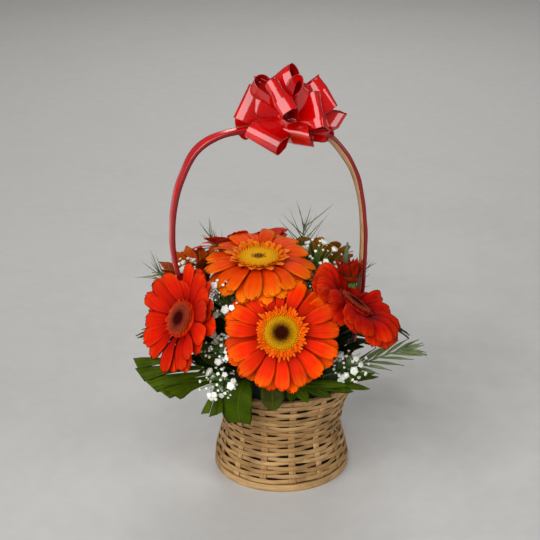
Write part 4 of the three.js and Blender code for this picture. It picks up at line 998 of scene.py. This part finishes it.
def hub(bloom):
    """The head under the disc, which the petals' roots are sunk in."""
    share = np.array([0.8, 0.92, 1.0, 0.98, 0.8])
    return tubes(bloom.rings(share * HUB_RADIUS, [-6.4, -5.4, -3.0, -0.6, -0.1], 26), shade=0.2)


BLOOM_SLOTS = {"orange": "petal_orange", "flame": "petal_orange_red", "red": "petal_red",
               "crimson": "petal_dark_red", "rust": "petal_brown_orange", "amber": "petal_brown_orange"}
SOLID_SLOTS = {"gerbera_back_mid": "petal_orange_red"}
for spec in GERBERAS:
    bloom = Bloom(*spec)
    name = bloom.name
    slot = SOLID_SLOTS.get(name, BLOOM_SLOTS[bloom.petal])
    rays = joined(ray_petals(bloom), hub(bloom))
    piece(name + "_rays", rays, PETALS[bloom.petal], [name + "_petals"])
    piece(name + "_fringe", fringe(bloom), INNER_PETALS[bloom.petal])
    piece(name + "_eye", disc_florets(bloom), FLORETS[bloom.disc], [name + "_disc"])
    piece(name + "_stalk", bloom_stem(bloom), STEM, [name + "_stem"])

bud = Bloom(*BUD)
piece("bud_right_rays", joined(ray_petals(bud), hub(bud)), PETALS["dusk"])
piece("bud_right_stalk", bloom_stem(bud), STEM)

# Greenery


def course(path):
    """The points that a stem's curve follows, from where it leaves its straight shank."""
    return np.vstack([from_focus(path[0], [SHANK_END]), path])


def headings(points, t):
    """Unit direction of a stem's curve at places along it."""
    return unit(smooth_curve(points, np.minimum(t + 0.01, 1)) - smooth_curve(points, t - 0.01))


def stalk(path, depth, reach, thick, thin):
    """A stem: straight in the foam, then along the curve up to reach, thinning out."""
    shank = from_focus(path[0], np.linspace(depth, SHANK_END - 2, 5))
    line = np.vstack([shank, smooth_curve(course(path), np.linspace(0, reach, 22))])
    radii = np.concatenate([np.full(5, thick), np.linspace(thick, thin, 22)])
    return tubes(round_rods(line[None], radii, 7), shade=0.5)


# Name, stem's path, facing, width, teeth, rise of the edges, finish and slot
BROAD_LEAVES = [
    ("leaf_rim_front", [[-47, -56, 120], [-54, -68, 116], [-57, -72, 102], [-55, -69, 84]],
     (-0.5, -0.8, 0.4), 29, 3, 0.15, "bright", "leaf_green"),
    ("leaf_rim_middle", [[-24, -66, 120], [-26, -76, 118], [-26, -79, 110], [-26, -79, 99]],
     (-0.1, -0.9, 0.5), 22, 2, 0.15, "olive", "leaf_green"),
    ("leaf_left_dark", [[-66, -36, 130], [-78, -41, 144], [-88, -48, 156]], (-0.2, -0.85, 0.5),
     17, 3, 0.2, "olive", "leaf_dark"),
    ("leaf_right_grey", [[52, -2, 150], [60, 0, 195], [63, -1, 226]], (-0.2, -0.9, 0.3),
     6, 2, 0.2, "grey", "leaf_grey"),
    ("leaf_back_right", [[62, 50, 120], [80, 64, 124], [92, 74, 110]], (0.4, 0.3, 0.85),
     30, 3, 0.15, "green", "leaf_green"),
    ("leaf_back_left", [[-40, 66, 120], [-50, 84, 122], [-56, 92, 104]], (-0.3, 0.6, 0.75),
     30, 3, 0.15, "green", "leaf_green"),
]


def broad_leaf(path, face, width, teeth, cup, cut):
    """A plate either side of its midrib: half width is a flattened sine of the place along it,
    with low rounded teeth, or a wide strap where its end is cut straight across. The edges rise
    by cup and in low waves."""
    s = np.linspace(0, 1, 44)
    line = smooth_curve(course(path), 0.28 + 0.72 * s)[None]
    outline = np.sin(np.pi * (0.08 + 0.86 * s)) ** 0.7 * (1 + 0.05 * np.sin(TAU * teeth * s - 0.8) ** 3)
    strap = np.interp(s, [0, 0.2, 0.5, 0.8, 1], [0.35, 0.75, 1.0, 0.97, 0.84]) + 0.015 * np.sin(25 * s)
    half = width / 2 * (strap if cut else outline)

    def relief(s, t):
        wave = 0.03 * width * np.abs(t) ** 2 * np.sin(12 * s + 2 * np.sign(t))
        return cup * half[:, None] * np.abs(t) ** 1.5 + wave

    def slide(s, t):
        return (0.5 * np.sin(9 * t) - 1.5 * t) * s**10

    blade = blades(line, face, half, 0.7, 11, 0.5, relief, slide if cut else None)
    return joined(blade, stalk(path, 33, 0.34, 1.2, 0.8))


for name, *spec, look, slot in BROAD_LEAVES:
    piece(name + "_blade", broad_leaf(*spec, name == "leaf_rim_front"), LEAVES[look], [name])

# Name, rib's path, facing, rib's radius, waist, cut, finish, and for each blade its place on the
# rib, its end and its width
FANS = [
    ("fan_left", [[-70, -46, 116], [-84, -45, 130], [-98, -40, 140]],
     (-0.25, -0.5, 0.83), 1.6, 0.6, 0.4, "pleated", [
        (0.40, (-117, -62, 117), 18), (0.48, (-125, -56, 116), 18), (0.58, (-134, -46, 119), 18),
        (0.72, (-142, -34, 125), 16), (0.9, (-144, -22, 131), 12), (0.3, (-87, -66, 95), 7),
        (0.27, (-80, -70, 94), 7), (0.24, (-74, -72, 97), 6)]),
    ("fan_front_right", [[-4, -66, 116], [14, -78, 119], [34, -78, 119]],
     (0.1, -0.7, 0.7), 1.4, 1.3, 0.1, "blade", [
        (0.4, (28, -85, 110), 10), (0.6, (50, -80, 110), 8), (0.76, (69, -69, 105), 6),
        (0.97, (79, -62, 113), 5), (0.97, (62, -67, 125), 5), (0.3, (6, -86, 107), 10),
        (0.12, (-10, -86, 110), 9), (0.5, (44, -84, 119), 7), (0.86, (74, -67, 120), 5)]),
]


def fan(path, face, rib, waist, cut, specs):
    """Blades from a short rib through a raised middle to their ends. Each is pleated lengthwise,
    and its end is trimmed straight where cut is over 0.2 and pointed where it is less."""
    parts = [stalk(path, 33, 1.0, rib, 0.6 * rib)]
    s = np.linspace(0, 1, 22)
    for index, (t, end, width) in enumerate(specs):
        root, end = smooth_curve(course(path), t), np.array(end, float)
        middle = root + 0.55 * (end - root) + (0, 0, 2)
        line = smooth_curve([root, middle, end], s)[None]
        middle_half = max(waist * width, 5) / 2
        trimmed = [2.4, 2.6, middle_half, width / 2, width / 2]
        pointed = [2.4, 3.0, middle_half, middle_half * 0.6, 0.3]
        half = np.interp(s, [0, 0.15, 0.55, 0.85, 1], trimmed if cut > 0.2 else pointed)
        parts.append(blades(
            line, face, half, 0.6, 11, (index * 0.37) % 1,
            lambda s, t: 0.8 * (1 - t**2) + 0.025 * width * np.cos(7 * np.pi * t) * np.minimum(1, 3 * s),
            lambda s, t: -0.6 * cut * width * t * s**4,
        ))
    return joined(*parts)


for name, path, face, rib, waist, cut, look, specs in FANS:
    piece(name + "_blades", fan(path, face, rib, waist, cut, specs), LEAVES[look], [name])

# Name, rib's path, facing, rib's radius, leaflets, their length and width, how broad they stay
# toward the tip, their angle from the rib, droop, where they start on the rib, and finish
FRONDS = [
    ("twig_right", [[50, -56, 122], [66, -64, 131], [95, -61, 137], [108, -61, 138]], (0.1, -0.5, 0.85),
     1.2, 16, 36, 3.3, 0.1, 32, 0.10, 0.25, "needle"),
    ("frond_back_left", [[-72, 30, 122], [-94, 42, 130], [-116, 54, 128]], (-0.3, 0.35, 0.85),
     1.5, 18, 40, 7.5, 0.4, 62, 0.25, 0.12, "deep"),
    ("frond_back", [[42, 70, 124], [58, 92, 132], [72, 110, 126]], (0.3, 0.4, 0.85),
     1.4, 18, 36, 6.75, 0.4, 60, 0.25, 0.12, "deep"),
    ("frond_right", [[78, 12, 122], [100, 16, 130], [118, 18, 124]], (0.3, 0, 0.95),
     1.4, 16, 34, 6, 0.4, 60, 0.25, 0.12, "deep"),
]


def frond(path, face, rib, count, length, width, tip, spread, droop, start):
    """Leaflets by turns on either side of a rib, leaning forward and longest at its middle."""
    points = course(path)
    k = np.arange(count)
    t = start + (1 - start) * (k + 0.5) / count
    run = headings(points, t)
    top = square_to(np.broadcast_to(np.array(face, float), run.shape), run)
    side = np.cross(top, run) * np.where(k % 2, -1, 1)[:, None]
    angle = np.radians(spread * (1 - 0.6 * t))[:, None]
    size = np.sin(np.pi * (0.25 + 0.6 * t)) * length
    s = np.linspace(0, 1, 9)
    line = straight(smooth_curve(points, t), run * np.cos(angle) + side * np.sin(angle), size, s)
    line = line - UP * (droop * size[:, None] * s**2)[..., None]
    half = width * np.interp(s, [0, 0.2, 0.55, 0.85, 1], [0.13, 0.36, 0.5, 0.5 * tip + 0.1, 0.08])
    leaflets = blades(line, top[:, None, :], half, 0.6, 5, (k * 0.618) % 1, lambda s, t: 0.8 * (1 - t**2))
    return joined(stalk(path, 33, 1.0, rib, 0.5 * rib), leaflets)


for name, *spec, look in FRONDS:
    piece(name + "_leaflets", frond(*spec), LEAVES[look], [name])

# Name, stem's path, needles, their length, their angle from the stem, and the draw's seed
SPRIGS = [
    ("sprig_back_right", [[22, 26, 150], [26, 34, 200], [30, 38, 232]], 27, 38, 64, 3),
    ("sprig_left", [[-74, 22, 150], [-96, 36, 178], [-112, 44, 192]], 27, 28, 60, 5),
    ("sprig_back_left", [[-34, 40, 150], [-44, 63, 194], [-56, 73, 213]], 24, 24, 45, 7),
    ("sprig_right", [[58, 13, 140], [78, 17, 176], [84, 16, 190]], 21, 20, 60, 9),
]


def sprig(path, count, length, spread, seed):
    """Slim needles in a spiral round the upper half of a stem, bowed up and tapering to a point."""
    random = np.random.default_rng(seed)
    points = course(path)
    k = np.arange(count)
    t = 0.5 + 0.49 * (k + 0.5) / count
    run = headings(points, t)
    side = unit(np.cross(run, np.array([0.3, 0.2, 0.9])))
    side = turned_about(side, run, (k * SPIRAL_TURN + random.random(count))[:, None])
    angle = np.radians(spread * (0.4 + 0.5 * random.random(count)))[:, None]
    size = length * (0.6 + 0.4 * random.random(count))
    s = np.linspace(0, 1, 6)
    line = straight(smooth_curve(points, t), run * np.cos(angle) + side * np.sin(angle), size, s)
    line = line + UP * (0.08 * size[:, None] * s**2)[..., None]
    radii = 0.48 * np.array([0.9, 1, 0.9, 0.7, 0.45, 0.1])
    needles = tubes(round_rods(line, radii, 4), shade=random.random(count))
    return joined(stalk(path, 40, 1.0, 1.1, 0.5), needles)


for name, *spec in SPRIGS:
    piece(name + "_needles", sprig(*spec), LEAVES["needle"], [name])

# Name, stem's path, size of the bunch, florets, and the draw's seed
SPRAYS = [
    ("spray_upper_left", [[-42, -20, 150], [-58, -30, 190]], 18, 72, 1),
    ("spray_left_low", [[-60, -52, 118], [-70, -64, 124]], 14, 48, 13),
    ("spray_right_low", [[36, -54, 118], [46, -70, 130]], 14, 48, 17),
    ("spray_upper_right", [[20, -18, 150], [26, -24, 185]], 16, 56, 19),
    ("spray_top_right", [[28, 10, 150], [36, 14, 200]], 17, 56, 23),
    ("spray_left_back", [[-66, 8, 150], [-82, 16, 190]], 11, 32, 29),
    ("spray_left_high", [[-60, 20, 150], [-86, 24, 204]], 7, 16, 41),
    ("spray_left_gap", [[-52, -36, 130], [-66, -50, 150]], 13, 48, 31),
    ("spray_back", [[22, 62, 130], [36, 84, 168]], 16, 48, 37),
]
# Height, radius and depth of the scallops of a floret's rings, as shares of its radius
FLORET_HEIGHT = np.array([-0.75, -0.3, 0.25, 0.62, 0.3])
FLORET_RADIUS = np.array([0.2, 0.75, 1.0, 0.72, 0.25])
FLORET_SCALLOP = np.array([0.0, 0.06, 0.11, 0.18, 0.3])


def spray(path, size, count, seed):
    """Small double florets on fine stalks round a heart at the stem's end: every fourth is full
    grown, the others are buds. A floret is a scalloped cup that closes over itself."""
    random = np.random.default_rng(seed)
    points = course(path)
    k = np.arange(count)
    tip = smooth_curve(points, 1.0)
    heart = tip + unit(tip - smooth_curve(points, 0.98)) * 0.35 * size
    root = smooth_curve(points, 1 - 0.5 * (1 - (k + 0.5) / count))
    turn = k * SPIRAL_TURN + random.random(count)
    level = 1 - 2 * (k + 0.5) / count
    girth = np.sqrt(1 - level**2) * (0.6 + 0.5 * random.random(count))
    at = heart + level_way(turn) * (1.3 * size * girth)[:, None] - UP * (size * level)[:, None]
    s = np.linspace(0, 1, 5)
    line = straight(root, at - root, 1, s) + UP * (2.5 * np.sin(np.pi * s))[:, None]
    stalks = tubes(round_rods(line, 0.3, 4), shade=random.random(count))
    grown = np.where(k % 4 == 0, 0.9, 0.28 + 0.25 * random.random(count)) * np.where(k % 12 == 4, 1.35, 1)
    radius = 3.5 * grown * (0.8 + 0.3 * random.random(count))
    aimed = unit(at - root)
    axis = straight(at, aimed, radius, FLORET_HEIGHT)
    scallop = 1 + FLORET_SCALLOP[:, None] * np.cos(5 * angles(10))
    wide = radius[:, None, None] * (FLORET_RADIUS[:, None] * scallop)
    rings = round_rods(axis, wide, 10, np.broadcast_to(aimed[:, None, :], axis.shape))
    heads = tubes(rings, shade=random.random(count))
    return joined(stalk(path, 40, 1.0, 0.9, 0.4), stalks), heads


for name, *spec in SPRAYS:
    green, white = spray(*spec)
    piece(name + "_stalks", green, STEM)
    piece(name + "_florets", white, WHITE_PETAL, [name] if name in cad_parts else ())

# Tips of the leaves that stand behind the gaps between the front blooms
GAP_LEAVES = [
    (-62, 12, 176), (-74, 2, 162), (-50, 28, 186), (-86, 18, 152), (-58, -14, 160), (-40, 4, 188),
    (40, 6, 166), (30, 24, 184), (64, 6, 156), (50, 22, 178), (24, 16, 198), (38, 30, 192),
    (46, -20, 156), (70, 30, 166), (-20, 34, 196), (6, 30, 196), (-76, 44, 160), (-8, 54, 180),
    (-60, -6, 182), (-66, -12, 172), (-52, 0, 174), (-70, -16, 154), (-60, -26, 146), (-72, -22, 142),
    (-50, -14, 190), (-82, -8, 146), (-90, -28, 139), (-82, -34, 132), (-87, -35, 123), (-66, -6, 140),
    (-64, 8, 183), (-65, 6, 176), (-57, 12, 190), (-94, -14, 128), (-88, -18, 124), (-114, -4, 146),
    (-112, 8, 140),
]
# Radius and height that the leaves to these tips start from
GAP_LEAF_START = (26, 118)


def filler_leaves():
    """Dark leaves that close the gaps between the stems. Some leave the foam each at its own
    angle, by golden-angle steps, and lean out and up, the outer ones lower. The others run from
    the foam's top to the given tips, bowed outward by a half sine."""
    random = np.random.default_rng(77)
    count = 60
    k = np.arange(count)
    inner = 24 + 26 * np.sqrt((k + 0.5) / count)
    out = level_way(k * GOLDEN_TURN)
    turn = np.cross(UP, out) * (random.random(count) - 0.5)[:, None]
    root = out * inner[:, None] + UP * np.interp(inner, [0, 28, 47, 58], [120, 119, 113, 105])[:, None]
    reach = 36 + 16 * random.random(count)
    heading = out * (0.45 + 0.55 * random.random((count, 1))) + 0.6 * turn + UP * (1.6 - inner / 50)[:, None]
    s = np.linspace(0, 1, 12)
    line = straight(root, unit(heading), reach, s) + out[:, None, :] * (5 * s**2)[:, None]
    line = line - UP * (7 * s**3)[:, None]
    tips = np.array(GAP_LEAVES, float)
    tip_out = unit(tips * (1, 1, 0))
    start = tip_out * GAP_LEAF_START[0] + UP * GAP_LEAF_START[1]
    aimed = straight(start, tips - start, 1, s) + tip_out[:, None, :] * (7 * np.sin(np.pi * s))[:, None]
    line, out = np.concatenate([line, aimed]), np.concatenate([out, tip_out])
    shape = np.interp(s, [0, 0.12, 0.3, 0.5, 0.7, 0.88, 1], [0.12, 0.14, 0.8, 1.0, 0.85, 0.45, 0.05])
    half = (6.0 + 2.5 * random.random(len(line)))[:, None] * shape
    face = np.broadcast_to((UP + 0.5 * out)[:, None, :], line.shape).copy()
    face[count:] = (0.25, -0.9, 0.4)
    return blades(line, face, half, 0.5, 7, random.random(len(line)), lambda s, t: 1.1 * t**2)


piece("filler_leaves", filler_leaves(), LEAVES["deep"])

# Parts of the frame that keep their own shape

for name, look in (("floral_foam", FOAM), ("liner", FILM), ("basket_base", BAMBOO)):
    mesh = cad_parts[name].data
    mesh.materials.clear()
    mesh.materials.append(look)

# Floor, light and camera

# Name, place, size and power of each light
LIGHTS = [
    ("key", (-1.15, -1.2, 1.35), 2.2, 56),
    ("fill", (1.4, -1.2, 0.8), 0.9, 9),
    ("back", (0.4, 1.5, 1.3), 1.0, 12),
]


def studio():
    """A pale floor, a large soft light from the upper left front, and two weaker fills."""
    mesh = bpy.data.meshes.new("floor")
    reach = 6.0
    corners = [(-reach, -reach, 0), (reach, -reach, 0), (reach, reach, 0), (-reach, reach, 0)]
    mesh.from_pydata(corners, [], [(0, 1, 2, 3)])
    mesh.update()
    mesh.materials.append(PALE_FLOOR)
    floor = placed("floor", mesh)
    aim = Vector((0, 0, 0.2))
    for name, place, size, power in LIGHTS:
        light = bpy.data.lights.new(name, "AREA")
        light.shape, light.size, light.energy = "SQUARE", size, power
        obj = placed(name, light)
        obj.location = place
        obj.rotation_euler = (aim - Vector(place)).to_track_quat("-Z", "Y").to_euler()
    world = bpy.data.worlds.new("soft")
    world.use_nodes = True
    sky = world.node_tree.nodes["Background"].inputs
    sky[0].default_value = (0.93, 0.92, 0.90, 1)
    sky[1].default_value = 0.14
    bpy.context.scene.world = world


def camera():
    """The photograph's view: 12 degrees left of the front, 24 degrees above level, with its middle
    to the left of the basket's axis."""
    a, e = np.radians(-12.0), np.radians(24.0)
    right = np.array([np.cos(a), np.sin(a), 0])
    back = np.array([np.sin(a) * np.cos(e), -np.cos(a) * np.cos(e), np.sin(e)])
    distance, mm_per_pixel, pixels = 1500.0, 0.94, 540
    beside, height = -11.3, 203.0
    target = beside * right + height * UP
    lens = bpy.data.cameras.new("camera")
    lens.sensor_width = 36.0
    lens.lens = lens.sensor_width * distance / mm_per_pixel / pixels
    obj = placed("camera", lens)
    obj.location = Vector((target + distance * back) * MM)
    obj.rotation_euler = Vector(back).to_track_quat("Z", "Y").to_euler()
    bpy.context.scene.camera = obj


studio()
camera()
bpy.context.scene.view_settings.view_transform = "Standard"
